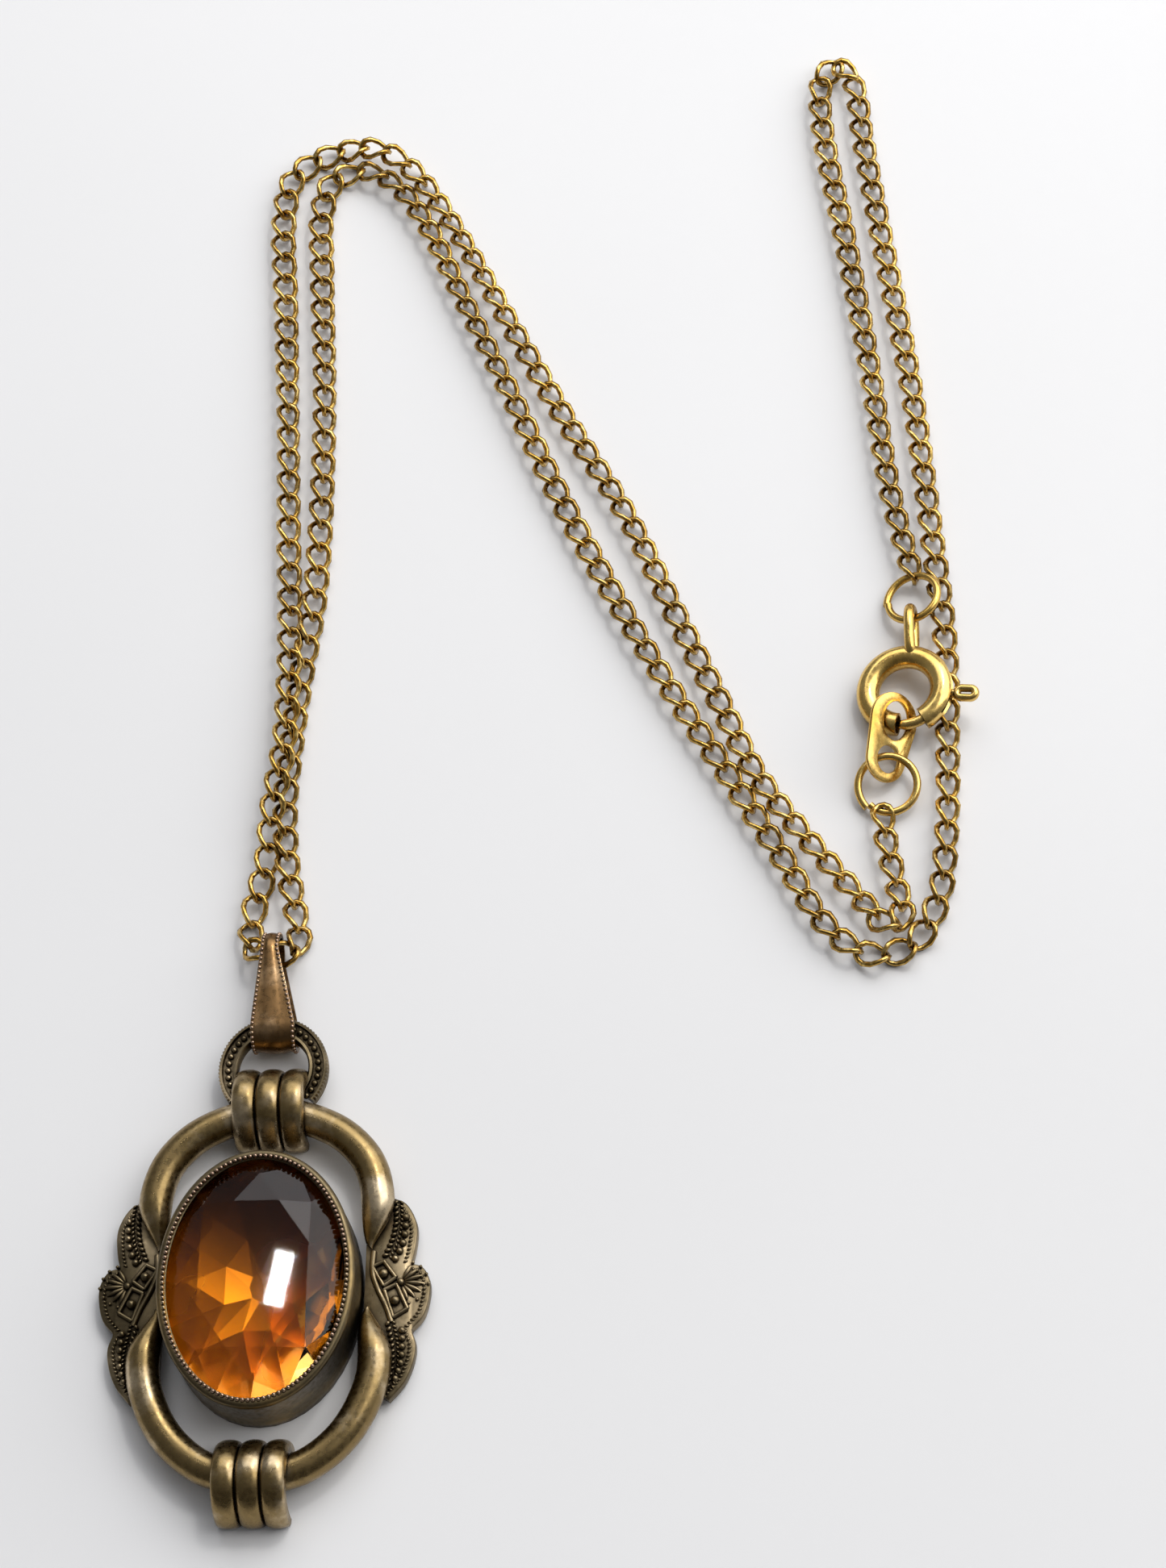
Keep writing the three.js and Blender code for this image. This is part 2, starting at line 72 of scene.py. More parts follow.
# Route of the chain from the middle of the bail to the clasp's jump ring, in metres.
CLASP_SIDE_ROUTE = [
    (-0.00024, 0.02045, 0.00166), (0.00045, 0.0206, 0.00166), (0.001, 0.0212, 0.00125),
    (0.00115, 0.0224, 0.00068), (0.00075, 0.0246, 0.00056), (0.0001, 0.028, 0.00056),
    (-0.0003, 0.0326, 0.00056), (-0.0001, 0.0375, 0.00056), (0.0004, 0.0435, 0.00056),
    (0.0011, 0.0498, 0.00056), (0.0013, 0.058, 0.00056), (0.0011, 0.0685, 0.00056),
    (0.0004, 0.0795, 0.00056), (0.0002, 0.0856, 0.00056), (0.0012, 0.0884, 0.00056),
    (0.0036, 0.0889, 0.00056), (0.0061, 0.0873, 0.00056), (0.0086, 0.0836, 0.00056),
    (0.0117, 0.0766, 0.00056), (0.0154, 0.0684, 0.00056), (0.0195, 0.0589, 0.00056),
    (0.0237, 0.0503, 0.00056), (0.0285, 0.0414, 0.00056), (0.0327, 0.0344, 0.00056),
    (0.0369, 0.0272, 0.00056), (0.0394, 0.0227, 0.00056), (0.0414, 0.0206, 0.00056),
    (0.0438, 0.0197, 0.00056), (0.0462, 0.0206, 0.00056), (0.0479, 0.0236, 0.00056),
    (0.0487, 0.029, 0.00056), (0.04895, 0.037, 0.00056), (0.04895, 0.0446, 0.00056),
    (0.0481, 0.0543, 0.00056), (0.0468, 0.067, 0.00056), (0.0449, 0.0796, 0.00056),
    (0.0434, 0.09, 0.00056), (0.0428, 0.0949, 0.00056), (0.0416, 0.0971, 0.00056),
    (0.0402, 0.0954, 0.00056), (0.0402, 0.0912, 0.00056), (0.0418, 0.0812, 0.00056),
    (0.0434, 0.0706, 0.00056), (0.0451, 0.0576, 0.00056), (0.0465, 0.0511, 0.00056),
]

# Route of the chain from the middle of the bail to the tag's jump ring, in metres.
TAG_SIDE_ROUTE = [
    (-0.00076, 0.02045, 0.00166), (-0.00145, 0.0206, 0.00166), (-0.00205, 0.0212, 0.00125),
    (-0.0024, 0.0224, 0.00068), (-0.0022, 0.0246, 0.00056), (-0.0015, 0.0278, 0.001),
    (-0.0011, 0.0326, 0.0017), (-0.0005, 0.0375, 0.00176), (-0.0004, 0.0435, 0.00174),
    (-0.0006, 0.0476, 0.0013), (-0.001, 0.053, 0.00056), (-0.0016, 0.0648, 0.00056),
    (-0.0024, 0.077, 0.00056), (-0.0029, 0.0846, 0.00056), (-0.0023, 0.0884, 0.00056),
    (-0.0001, 0.0903, 0.0006), (0.0026, 0.0908, 0.0011), (0.0049, 0.0902, 0.00172),
    (0.0069, 0.0891, 0.0012), (0.009, 0.0864, 0.00056), (0.0119, 0.0813, 0.00056),
    (0.0158, 0.0735, 0.00056), (0.0203, 0.0648, 0.00056), (0.025, 0.0564, 0.00056),
    (0.0292, 0.0468, 0.00056), (0.032, 0.0406, 0.00056), (0.0348, 0.0344, 0.00056),
    (0.038, 0.0297, 0.00056), (0.0415, 0.0252, 0.00056), (0.0434, 0.0229, 0.0009),
    (0.0446, 0.0216, 0.00166), (0.0453, 0.0226, 0.0013), (0.045, 0.025, 0.00062),
    (0.0444, 0.028, 0.00056), (0.04415, 0.0303, 0.00056),
]


# ------------------------------------------------------------------ sizes and colours the user may change
def length(name, description, millimetres):
    return FloatProperty(name=name, description=description, default=millimetres * MM,
                         min=0.0, unit="LENGTH")


def colour(name, description, value):
    return FloatVectorProperty(name=name, description=description, default=value, size=3,
                               min=0.0, max=1.0, subtype="COLOR")


class NecklaceSizes(PropertyGroup):
    """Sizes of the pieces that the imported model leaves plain."""
    link_length: length("Link length", "Outside length of one curb link", 2.9)
    link_width: length("Link width", "Outside width of one curb link", 2.2)
    link_wire: length("Link wire", "Thickness of the wire the links are bent from", 0.46)
    link_pitch: length("Link pitch", "Chain length that one link adds", 2.0)
    edge_bead: length("Edge bead", "Diameter of the fine beads round the setting", 0.34)
    rope_bead: length("Rope bead", "Length of one strand in the rope lines of the wings", 0.4)
    cell_bead: length("Cell bead", "Diameter of the bead in each square cell", 0.75)
    bail_bead: length("Bail bead", "Diameter of the beads along the bail's edges", 0.28)
    ring_bead: length("Ring bead", "Diameter of the beads in the hanging ring's channel", 0.5)


class NecklaceColours(PropertyGroup):
    """Colours of the finishes."""
    brass: colour("Brass", "Aged brass on the smooth tubes", (0.25, 0.175, 0.075))
    brass_worn: colour("Worn brass", "Brass rubbed bright on the high places", (0.64, 0.52, 0.35))
    patina: colour("Patina", "Dark film in the recesses", (0.028, 0.02, 0.013))
    wall: colour("Setting wall", "Darker brass of the setting's wall and ornament", (0.13, 0.1, 0.055))
    wall_worn: colour("Worn wall", "Rubbed places of the wall and ornament", (0.36, 0.28, 0.17))
    rim: colour("Rim", "Pinkish metal of the beaded rim", (0.36, 0.25, 0.18))
    copper: colour("Bail", "Coppery brass of the bail", (0.2, 0.115, 0.048))
    copper_worn: colour("Worn bail", "Rubbed places of the bail", (0.5, 0.33, 0.18))
    gold: colour("Gold", "Yellow plating of chain and clasp", (0.55, 0.32, 0.06))
    gold_bright: colour("Bright gold", "Rubbed plating", (0.88, 0.63, 0.22))
    # Partly painted shade: chain and clasp darken to this between the links and in recesses; it is also the
    # real tarnish of some links and specks.
    gold_tarnish_and_shade: colour("Gold shade", "Painted shade between the links and in the clasp's recesses, and brown tarnish", (0.075, 0.035, 0.012))
    amber: colour("Amber", "Body of the stone", (0.98, 0.58, 0.1))
    # Painted shade: the colour the stone darkens to towards the bail, standing in for dim reflections, not
    # a tint of the glass.
    amber_painted_shade: colour("Deep amber", "Painted shade towards the bail end of the stone", (0.3, 0.16, 0.08))
    foil: colour("Foil", "Foil behind the stone", (0.96, 0.78, 0.42))
    solder: colour("Solder", "Grey joint on the bail", (0.3, 0.3, 0.29))
    paper: colour("Paper", "Surface the necklace lies on", (0.87, 0.87, 0.88))


def sizes():
    return bpy.context.scene.necklace_sizes


def colours():
    return bpy.context.scene.necklace_colours


# ------------------------------------------------------------------ mesh helpers, in millimetres
def middle(node):
    """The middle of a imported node's box."""
    low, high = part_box(node)
    return (low + high) / (2 * MM)


PENDANT_Y = middle("bezel_back").y


def inner_edges(verts):
    """The edges whose two ends are both among verts, in the order of verts."""
    inside = set(verts)
    found = []
    for vert in verts:
        for edge in vert.link_edges:
            if edge not in found and inside.issuperset(edge.verts):
                found.append(edge)
    return found


def circle(bm, radius, sides):
    """A ring of edges round the origin in the XY plane."""
    return inner_edges(bmesh.ops.create_circle(bm, segments=sides, radius=radius)["verts"])


def outline(bm, points):
    """A closed ring of edges through flat points."""
    verts = [bm.verts.new((point[0], point[1], 0.0)) for point in points]
    return [bm.edges.new(pair) for pair in zip(verts, verts[1:] + verts[:1])]


def ends_of(edges):
    """The vertices of some edges, each once."""
    return list(dict.fromkeys(vert for edge in edges for vert in edge.verts))


def new_verts(grown):
    """The vertices among what an extrusion made."""
    return [item for item in grown if isinstance(item, bmesh.types.BMVert)]


def sweep(bm, ring, frames, capped=True):
    """Pulls a ring of edges, drawn in the XY plane, through every frame in turn."""
    bmesh.ops.transform(bm, matrix=frames[0], verts=ends_of(ring))
    if capped:
        bmesh.ops.edgeloop_fill(bm, edges=ring)
    for before, here in zip(frames, frames[1:]):
        verts = new_verts(bmesh.ops.extrude_edge_only(bm, edges=ring)["geom"])
        bmesh.ops.transform(bm, matrix=here @ before.inverted(), verts=verts)
        ring = inner_edges(verts)
    if capped:
        bmesh.ops.edgeloop_fill(bm, edges=ring)
    return ring


def facing(place, side, rise, scale=(1.0, 1.0)):
    """A frame at place whose X runs along side, and whose Y is as near to rise as it gets."""
    side = side.normalized()
    along = side.cross(rise).normalized()
    rise = along.cross(side)
    turn = Matrix((side * scale[0], rise * scale[1], along)).transposed().to_4x4()
    return Matrix.Translation(place) @ turn


def heading(line, i):
    """The way a line runs at one of its points, from the point before it to the point after."""
    return line[min(i + 1, len(line) - 1)] - line[max(i - 1, 0)]


def line_frames(points, up=Z_AXIS):
    """Frames along a line of points, with Z along the line and Y as near to up as it gets."""
    frames = []
    for i, here in enumerate(points):
        frames.append(facing(here, up.cross(heading(points, i)), up))
    return frames


def smooth_line(points, steps):
    """A centripetal curve through points, with steps to each stretch."""
    guide = [2 * points[0] - points[1], *points, 2 * points[-1] - points[-2]]
    line = []
    for a, b, c, d in zip(guide, guide[1:], guide[2:], guide[3:]):
        t1 = math.sqrt((b - a).length)
        t2 = t1 + math.sqrt((c - b).length)
        t3 = t2 + math.sqrt((d - c).length)
        for k in range(steps):
            t = t1 + (t2 - t1) * k / steps
            ab = a.lerp(b, t / t1)
            bc = b.lerp(c, (t - t1) / (t2 - t1))
            cd = c.lerp(d, (t - t2) / (t3 - t2))
            abc = ab.lerp(bc, t / t2)
            bcd = bc.lerp(cd, (t - t1) / (t3 - t1))
            line.append(abc.lerp(bcd, (t - t1) / (t2 - t1)))
    return [*line, points[-1].copy()]


def measure(line):
    """The distance along a line at each of its points."""
    total = [0.0]
    for a, b in zip(line, line[1:]):
        total.append(total[-1] + (b - a).length)
    return total


def evenly(line, pitch):
    """Points along a line with its ends kept, as near to pitch apart as fits."""
    total = measure(line)
    count = max(1, round(total[-1] / pitch))
    points = []
    k = 0
    for i in range(count + 1):
        wanted = total[-1] * i / count
        while k < len(total) - 2 and total[k + 1] < wanted:
            k += 1
        points.append(line[k].lerp(line[k + 1], (wanted - total[k]) / (total[k + 1] - total[k])))
    return points


def flat(points, z=0.0):
    """The (x, y) points at one height."""
    return [Vector((x, y, z)) for x, y in points]


def bead(bm, place, radius, frame_at=None, stretch=(1.0, 1.0, 1.0), turns=8):
    """A small ball or grain."""
    turn = frame_at.to_3x3().to_4x4() if frame_at else Matrix.Identity(4)
    matrix = Matrix.Translation(place) @ turn @ Matrix.Diagonal((*stretch, 1.0))
    bmesh.ops.create_uvsphere(bm, u_segments=turns, v_segments=5, radius=radius, matrix=matrix)


def rope(bm, line, pitch, thickness, slant=38):
    """A twisted wire laid along a line: slanting grains, one beside the other."""
    points = evenly(line, pitch)
    for here, frame_at in zip(points, line_frames(points)):
        tilted = frame_at @ Matrix.Rotation(math.radians(slant), 4, "Y")
        bead(bm, here, thickness / 2, tilted, (1.25, 1.0, 0.62), turns=6)


def bead_row(bm, line, pitch, diameter, squash=1.0):
    """Beads side by side along a line."""
    for here in evenly(line, pitch):
        bead(bm, here, diameter / 2, stretch=(1.0, 1.0, squash), turns=8)


def wire(bm, line, radius, sides):
    """A round wire along a line, closed at both ends."""
    sweep(bm, circle(bm, radius, sides), line_frames(line))


def wire_ring(bm, radius, wire_radius, sides, steps):
    """A closed round ring of wire in the XY plane, about the origin."""
    ring = circle(bm, wire_radius, sides)
    start = Matrix.Rotation(math.pi / steps, 4, "Z") @ Matrix.Translation((radius, 0, 0))
    stand = Matrix.Rotation(math.pi / 2, 4, "X")
    bmesh.ops.transform(bm, matrix=start @ stand, verts=bm.verts)
    bmesh.ops.spin(bm, geom=[*ring, *ends_of(ring)], cent=(0, 0, 0), axis=Z_AXIS, angle=FULL_TURN,
                   steps=steps, use_merge=True)


def round_line(radius, begin, end, steps, height=0.0):
    """Points on an arc about Z, between two angles in degrees."""
    line = []
    for k in range(steps + 1):
        angle = math.radians(begin + (end - begin) * k / steps)
        line.append(Vector((radius * math.cos(angle), radius * math.sin(angle), height)))
    return line


def publish(bm, name, body, material, stands_for, crease=40.0, on_pendant=False):
    """Makes a finished piece of a mesh in millimetres."""
    if on_pendant:
        bmesh.ops.translate(bm, vec=(0, PENDANT_Y, 0), verts=bm.verts)
    bmesh.ops.scale(bm, vec=(MM, MM, MM), verts=bm.verts)
    mesh = bpy.data.meshes.new(name)
    bm.to_mesh(mesh)
    bm.free()
    mesh.shade_smooth()
    mesh.set_sharp_from_angle(angle=math.radians(crease))
    mesh.materials.append(material)
    piece = bpy.data.objects.new(name, mesh)
    bpy.context.scene.collection.objects.link(piece)
    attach(piece, body)
    if stands_for:
        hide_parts(*stands_for)
    return piece


def tidy(bm):
    """Merges doubled vertices and turns every face outwards."""
    bmesh.ops.remove_doubles(bm, verts=bm.verts, dist=1e-5)
    bmesh.ops.recalc_face_normals(bm, faces=bm.faces)


# ------------------------------------------------------------------ finishes
def new_material(name):
    """A material with its node tree and its main shader."""
    material = bpy.data.materials.new(name)
    material.use_nodes = True
    tree = material.node_tree
    return material, tree, tree.nodes["Principled BSDF"]


def add(tree, kind, **settings):
    """A new node with its settings."""
    node = tree.nodes.new(kind)
    for key, value in settings.items():
        setattr(node, key, value)
    return node


def mixed(tree, share, first, second):
    """A colour between two, by a share that varies over the surface."""
    node = add(tree, "ShaderNodeMix", data_type="RGBA")
    tree.links.new(share, node.inputs[0])
    for socket, value in ((node.inputs[6], first), (node.inputs[7], second)):
        if isinstance(value, bpy.types.NodeSocket):
            tree.links.new(value, socket)
        else:
            socket.default_value = (*value, 1.0)
    return node.outputs[2]


def ranged(tree, value, low, high, to_low=0.0, to_high=1.0):
    """A value eased from one range to another."""
    node = add(tree, "ShaderNodeMapRange", interpolation_type="SMOOTHSTEP")
    tree.links.new(value, node.inputs["Value"])
    node.inputs["From Min"].default_value = low
    node.inputs["From Max"].default_value = high
    node.inputs["To Min"].default_value = to_low
    node.inputs["To Max"].default_value = to_high
    return node.outputs["Result"]


def grain(tree, scale, stretch=(1.0, 1.0, 1.0), detail=3.0, roughness=0.55):
    """Noise over the piece's own coordinates. Scale is in grains to a metre."""
    place = add(tree, "ShaderNodeTexCoord")
    turn = add(tree, "ShaderNodeMapping")
    turn.inputs["Scale"].default_value = stretch
    tree.links.new(place.outputs["Object"], turn.inputs["Vector"])
    cloud = add(tree, "ShaderNodeTexNoise")
    cloud.inputs["Scale"].default_value = scale
    cloud.inputs["Detail"].default_value = detail
    cloud.inputs["Roughness"].default_value = roughness
    tree.links.new(turn.outputs["Vector"], cloud.inputs["Vector"])
    return cloud.outputs["Fac"]


def crevice(tree, reach):
    """How deep a spot lies in a recess, from 0 in the open to 1."""
    node = add(tree, "ShaderNodeAmbientOcclusion", samples=8)
    node.inputs["Distance"].default_value = reach * MM
    return ranged(tree, node.outputs["AO"], 0.9, 0.35)


def bumps(tree, bsdf, *layers):
    """Relief from several (height, strength, depth in millimetres) layers."""
    normal = None
    for height, strength, depth in layers:
        node = add(tree, "ShaderNodeBump")
        node.inputs["Strength"].default_value = strength
        node.inputs["Distance"].default_value = depth * MM
        tree.links.new(height, node.inputs["Height"])
        if normal:
            tree.links.new(normal, node.inputs["Normal"])
        normal = node.outputs["Normal"]
    tree.links.new(normal, bsdf.inputs["Normal"])


def aged_metal(name, body, worn, film, polish, reach, wear=(0.48, 0.72), darkest_recess_share=0.9, scratch=0.25):
    """Metal with cloudy wear, darker in recesses up to reach deep, and fine scratches. The recess darkening
    is patina, except on the gold clasp pieces, where it is painted shade.
    """
    material, tree, bsdf = new_material(name)
    cloud = grain(tree, 260, detail=5)
    fine = grain(tree, 2600, detail=4)
    streak = grain(tree, 1500, stretch=(1.0, 0.12, 1.0), detail=2)
    recess = crevice(tree, reach)
    rubbed = mixed(tree, ranged(tree, cloud, *wear), body, worn)
    speckled = mixed(tree, ranged(tree, fine, 0.62, 0.8, 0.0, 0.35), rubbed, film)
    # Darker in recesses: patina on the brass and other metals, painted shade on the gold clasp pieces.
    recess_darkened = mixed(tree, ranged(tree, recess, 0.0, 1.0, 0.0, darkest_recess_share), speckled, film)
    tree.links.new(recess_darkened, bsdf.inputs["Base Color"])
    tree.links.new(ranged(tree, fine, 0.3, 0.75, polish - 0.07, polish + 0.12), bsdf.inputs["Roughness"])
    bsdf.inputs["Metallic"].default_value = 1.0
    bumps(tree, bsdf, (streak, scratch, 0.01), (fine, 0.3, 0.012))
    return material


def chain_gold(name):
    """Gold plating that is browner on some links than on others, with painted shade between the links."""
    shade = colours()
    material, tree, bsdf = new_material(name)
    link_tone = add(tree, "ShaderNodeAttribute", attribute_name="tarnish").outputs["Fac"]
    fine = grain(tree, 2200, detail=3)
    recess = crevice(tree, 0.7)
    plated = mixed(tree, ranged(tree, fine, 0.42, 0.68), shade.gold, shade.gold_bright)
    toned = mixed(tree, ranged(tree, link_tone, 0.0, 1.0, 0.0, 0.45), plated, shade.gold_tarnish_and_shade)
    # Painted shade: the colour darkens towards the shade colour between the links, where they shade each
    # other.
    recess_darkened = mixed(tree, ranged(tree, recess, 0.0, 1.0, 0.0, 0.9), toned, shade.gold_tarnish_and_shade)
    tree.links.new(recess_darkened, bsdf.inputs["Base Color"])
    tree.links.new(ranged(tree, fine, 0.3, 0.7, 0.16, 0.3), bsdf.inputs["Roughness"])
    bsdf.inputs["Metallic"].default_value = 1.0
    bumps(tree, bsdf, (fine, 0.2, 0.01))
    return material


def amber_glass(name):
    """Clear glass with painted shade: its colour darkens towards the bail, in place of the dim reflections
    there.
    """
    shade = colours()
    material, tree, bsdf = new_material(name)
    place = add(tree, "ShaderNodeTexCoord")
    split = add(tree, "ShaderNodeSeparateXYZ")
    slant = add(tree, "ShaderNodeMapping")
    slant.inputs["Rotation"].default_value = (0, 0, math.radians(22))
    tree.links.new(place.outputs["Object"], slant.inputs["Vector"])
    tree.links.new(slant.outputs["Vector"], split.inputs["Vector"])
    start, end = (PENDANT_Y - 2.5) * MM, (PENDANT_Y + 5.5) * MM
    # Painted shade: the base colour runs from amber to the painted shade colour towards the bail.
    painted_shade_share = ranged(tree, split.outputs["Y"], start, end)
    tree.links.new(mixed(tree, painted_shade_share, shade.amber, shade.amber_painted_shade), bsdf.inputs["Base Color"])
    bsdf.inputs["Roughness"].default_value = 0.015
    bsdf.inputs["IOR"].default_value = 1.36
    bsdf.inputs["Transmission Weight"].default_value = 1.0
    bsdf.inputs["Specular IOR Level"].default_value = 0.16
    return material


def backing_foil(name):
    """Bright foil with soft creases."""
    shade = colours()
    material, tree, bsdf = new_material(name)
    crinkle = grain(tree, 160, detail=1)
    duller = [0.82 * value for value in shade.foil]
    tint = mixed(tree, ranged(tree, crinkle, 0.2, 0.8), shade.foil, duller)
    tree.links.new(tint, bsdf.inputs["Base Color"])
    tree.links.new(ranged(tree, crinkle, 0.2, 0.8, 0.22, 0.3), bsdf.inputs["Roughness"])
    bsdf.inputs["Metallic"].default_value = 1.0
    return material


def pale_paper(name):
    """Matt paper with a fibre grain."""
    material, tree, bsdf = new_material(name)
    shade = colours().paper
    fibre = grain(tree, 900, detail=5)
    cloud = grain(tree, 9, detail=2)
    darker = [0.96 * value for value in shade]
    tint = mixed(tree, ranged(tree, cloud, 0.3, 0.7), darker, shade)
    tree.links.new(tint, bsdf.inputs["Base Color"])
    tree.links.new(ranged(tree, fibre, 0.3, 0.7, 0.75, 0.9), bsdf.inputs["Roughness"])
    bumps(tree, bsdf, (fibre, 0.12, 0.02))
    return material


FINISHES = {}


def finish(key):
    """The named finish, made once."""
    if key in FINISHES:
        return FINISHES[key]
    shade = colours()
    film = shade.patina
    recipes = {
        "brass": lambda: aged_metal("aged_brass", shade.brass, shade.brass_worn, film, 0.3, 0.9),
        "ornament": lambda: aged_metal("ornament_brass", shade.wall, shade.wall_worn, film, 0.34, 0.8),
        "wall": lambda: aged_metal("wall_brass", shade.wall, shade.brass, film, 0.36, 1.2),
        "rim": lambda: aged_metal("rim_metal", shade.rim, shade.wall_worn, film, 0.3, 0.3),
        "copper": lambda: aged_metal("bail_copper", shade.copper, shade.copper_worn, film, 0.3, 0.6),
        "solder": lambda: aged_metal("grey_solder", shade.solder, shade.rim, film, 0.45, 0.4),
        # The clasp gold darkens to its shade colour in recesses as painted shade; its fine specks are
        # tarnish.
        "gold": lambda: aged_metal("clasp_gold", shade.gold, shade.gold_bright, shade.gold_tarnish_and_shade, 0.22, 0.6,
                                   wear=(0.2, 0.85), darkest_recess_share=0.85, scratch=0.12),
        "steel": lambda: aged_metal("spring_steel", shade.solder, shade.paper, film, 0.3, 0.3),
        "chain": lambda: chain_gold("chain_gold"),
        "amber": lambda: amber_glass("amber_glass"),
        "foil": lambda: backing_foil("backing_foil"),
        "paper": lambda: pale_paper("pale_paper"),
    }
    FINISHES[key] = recipes[key]()
    return FINISHES[key]


# ------------------------------------------------------------------ chain
TWIST = math.radians(-46)         # each end of a link turns by this, one way and the other
LEAN = math.radians(-37)          # how far the links lean over as they lie
END_ROLL = math.radians(-40)      # at the jump rings, so that the last link takes the ring
ROLL_WANDER = math.radians(34)    # how far a link may stray from that lean
WANDER_RATE = 0.045               # strays to a millimetre of chain
TONE_RATE = 0.31                  # changes of tarnish to a millimetre of chain
END_SHARE = 1 / 90                # share of the chain that turns from END_ROLL to LEAN
LINK_SIDES = 5
LINK_STEPS = 14
LINK_FULLNESS = 0.6               # 1 is a plain oval, less keeps the sides straighter
FLOOR_RUN = 0.62                  # a link whose middle is lower than this lies on the paper
FLOOR_GAP = 0.02


def link_mesh():
    """One curb link round the origin, long along X: a ring of wire, drawn out and twisted."""
    size = sizes()
    wire_radius = size.link_wire / MM / 2
    half_long = size.link_length / MM / 2 - wire_radius
    half_wide = size.link_width / MM / 2 - wire_radius
    bm = bmesh.new()
    wire_ring(bm, half_wide, wire_radius, LINK_SIDES, LINK_STEPS)
    for vert in bm.verts:
        towards_end = vert.co.x / vert.co.xy.length
        drawn_out = math.copysign(abs(towards_end) ** LINK_FULLNESS, towards_end)
        vert.co.x += (half_long - half_wide) * drawn_out
        twist = Matrix.Rotation(TWIST * vert.co.x / half_long, 3, "X")
        vert.co = twist @ vert.co
    tidy(bm)
    mesh = bpy.data.meshes.new("link_pattern")
    bm.to_mesh(mesh)
    bm.free()
    return mesh


def link_roll(along, share, distance):
    """A link's turn about the chain: it leans towards +X, and wanders a little."""
    wander = noise.noise(Vector((distance * WANDER_RATE, 3.1, 0.0))) * ROLL_WANDER
    lean = -LEAN * along.y + wander
    near_end = max(0.0, 1 - min(share, 1 - share) / END_SHARE)
    return lean * (1 - near_end) + END_ROLL * near_end


def chain_run(name, stations, total, node):
    """A mesh of real links, one at each station, for one run of the chain."""
    pattern = link_mesh()
    bm = bmesh.new()
    tone = bm.verts.layers.float.new("tarnish")
    for here, along, distance in stations:
        side = Z_AXIS.cross(along).normalized()
        up = along.cross(side)
        lying = Matrix((along, side, up)).transposed().to_4x4()
        roll = Matrix.Rotation(link_roll(along, distance / total, distance), 4, "X")
        link = pattern.copy()
        link.transform(Matrix.Translation(here) @ lying @ roll)
        lowest = min(vert.co.z for vert in link.vertices)
        rise = FLOOR_GAP - lowest
        if here.z > FLOOR_RUN:
            rise = max(0.0, rise)
        link.transform(Matrix.Translation((0, 0, rise)))
        before = len(bm.verts)
        bm.from_mesh(link)
        bm.verts.ensure_lookup_table()
        shade = 0.5 + noise.noise(Vector((distance * TONE_RATE, 0.0, 7.7)))
        for vert in bm.verts[before:]:
            vert[tone] = shade
        bpy.data.meshes.remove(link)
    bpy.data.meshes.remove(pattern)
    return publish(bm, name, "chain", finish("chain"), (node,), crease=80)


def lay_chain():
    """Both runs of links, in one even count through the bail."""
    tag_side = smooth_line([Vector(point) / MM for point in TAG_SIDE_ROUTE], 8)
    clasp_side = smooth_line([Vector(point) / MM for point in CLASP_SIDE_ROUTE], 8)
    whole = [*reversed(tag_side), *clasp_side]
    centres = evenly(whole, sizes().link_pitch / MM)
    total = measure(centres)
    stations = []
    for i, here in enumerate(centres):
        stations.append((here, heading(centres, i).normalized(), total[i]))
    tag_length = measure(tag_side)[-1]
    clasp_length = measure(clasp_side)[-1]
    tag_run = [station for station in stations if station[2] < tag_length]
    clasp_run = [station for station in stations if station[2] >= tag_length]
    runs = (
        ("tag_side_links", tag_run, "chain_tag_side", tag_side, tag_length,
         ["tag_ring_wire"]),
        ("clasp_side_links", clasp_run, "chain_clasp_side", clasp_side, clasp_length,
         ["clasp_ring_wire", "clasp_tube", "clasp_eye", "clasp_trigger", "gate_coil", "two_hole_tag"]),
    )
    made = []
    for name, run, node, line, distance, on_it in runs:
        piece = chain_run(name, run, total[-1], node)
        made.append((piece, [point * MM for point in line], distance * MM, on_it))
    return made


class NECKLACE_OT_chain(Operator):
    """Lay the curb chain through the bail, link by link"""
    bl_idname = "necklace.chain"
    bl_label = "Curb chain"

    def execute(self, context):
        lay_chain()
        return {"FINISHED"}


class NECKLACE_OT_declare_chain(Operator):
    """Takes no step: both runs of the chain and the clasp pieces they carry are left as they are"""
    bl_idname = "necklace.declare_chain"
    bl_label = "Free cords"

    def execute(self, context):
        return {"FINISHED"}


# ------------------------------------------------------------------ stone
STONE_LOW, STONE_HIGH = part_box("stone")
STONE_HALF = (STONE_HIGH - STONE_LOW).xy / (2 * MM)
STONE_TOP = STONE_HIGH.z / MM
STONE_CULET = STONE_LOW.z / MM
GIRDLE_LOW = 4.05
GIRDLE_HIGH = 4.25

# Rings of facet corners: share of the outline, height, corners, turn in corners.
CROWN = [
    (0.64, STONE_TOP, 8, 0.5),
    (0.83, 5.16, 8, 0.0),
    (1.0, GIRDLE_HIGH, 16, 0.0),
]
PAVILION = [
    (1.0, GIRDLE_LOW, 16, 0.0),
    (0.74, 3.12, 8, 0.0),
    (0.4, 1.9, 8, 0.5),
    (0.12, STONE_CULET, 8, 0.0),
]
FOIL_GAP = 0.05
FOIL_THICKNESS = 0.06


def facet_corners(bm, share, height, count, turn):
    """One ring of corners on an oval like the stone's outline."""
    matrix = Matrix.Translation((0, 0, height)) @ Matrix.Diagonal((STONE_HALF.x, STONE_HALF.y, 1, 1))
    matrix = matrix @ Matrix.Rotation(FULL_TURN * turn / count, 4, "Z")
    bmesh.ops.create_circle(bm, segments=count, radius=share, matrix=matrix)


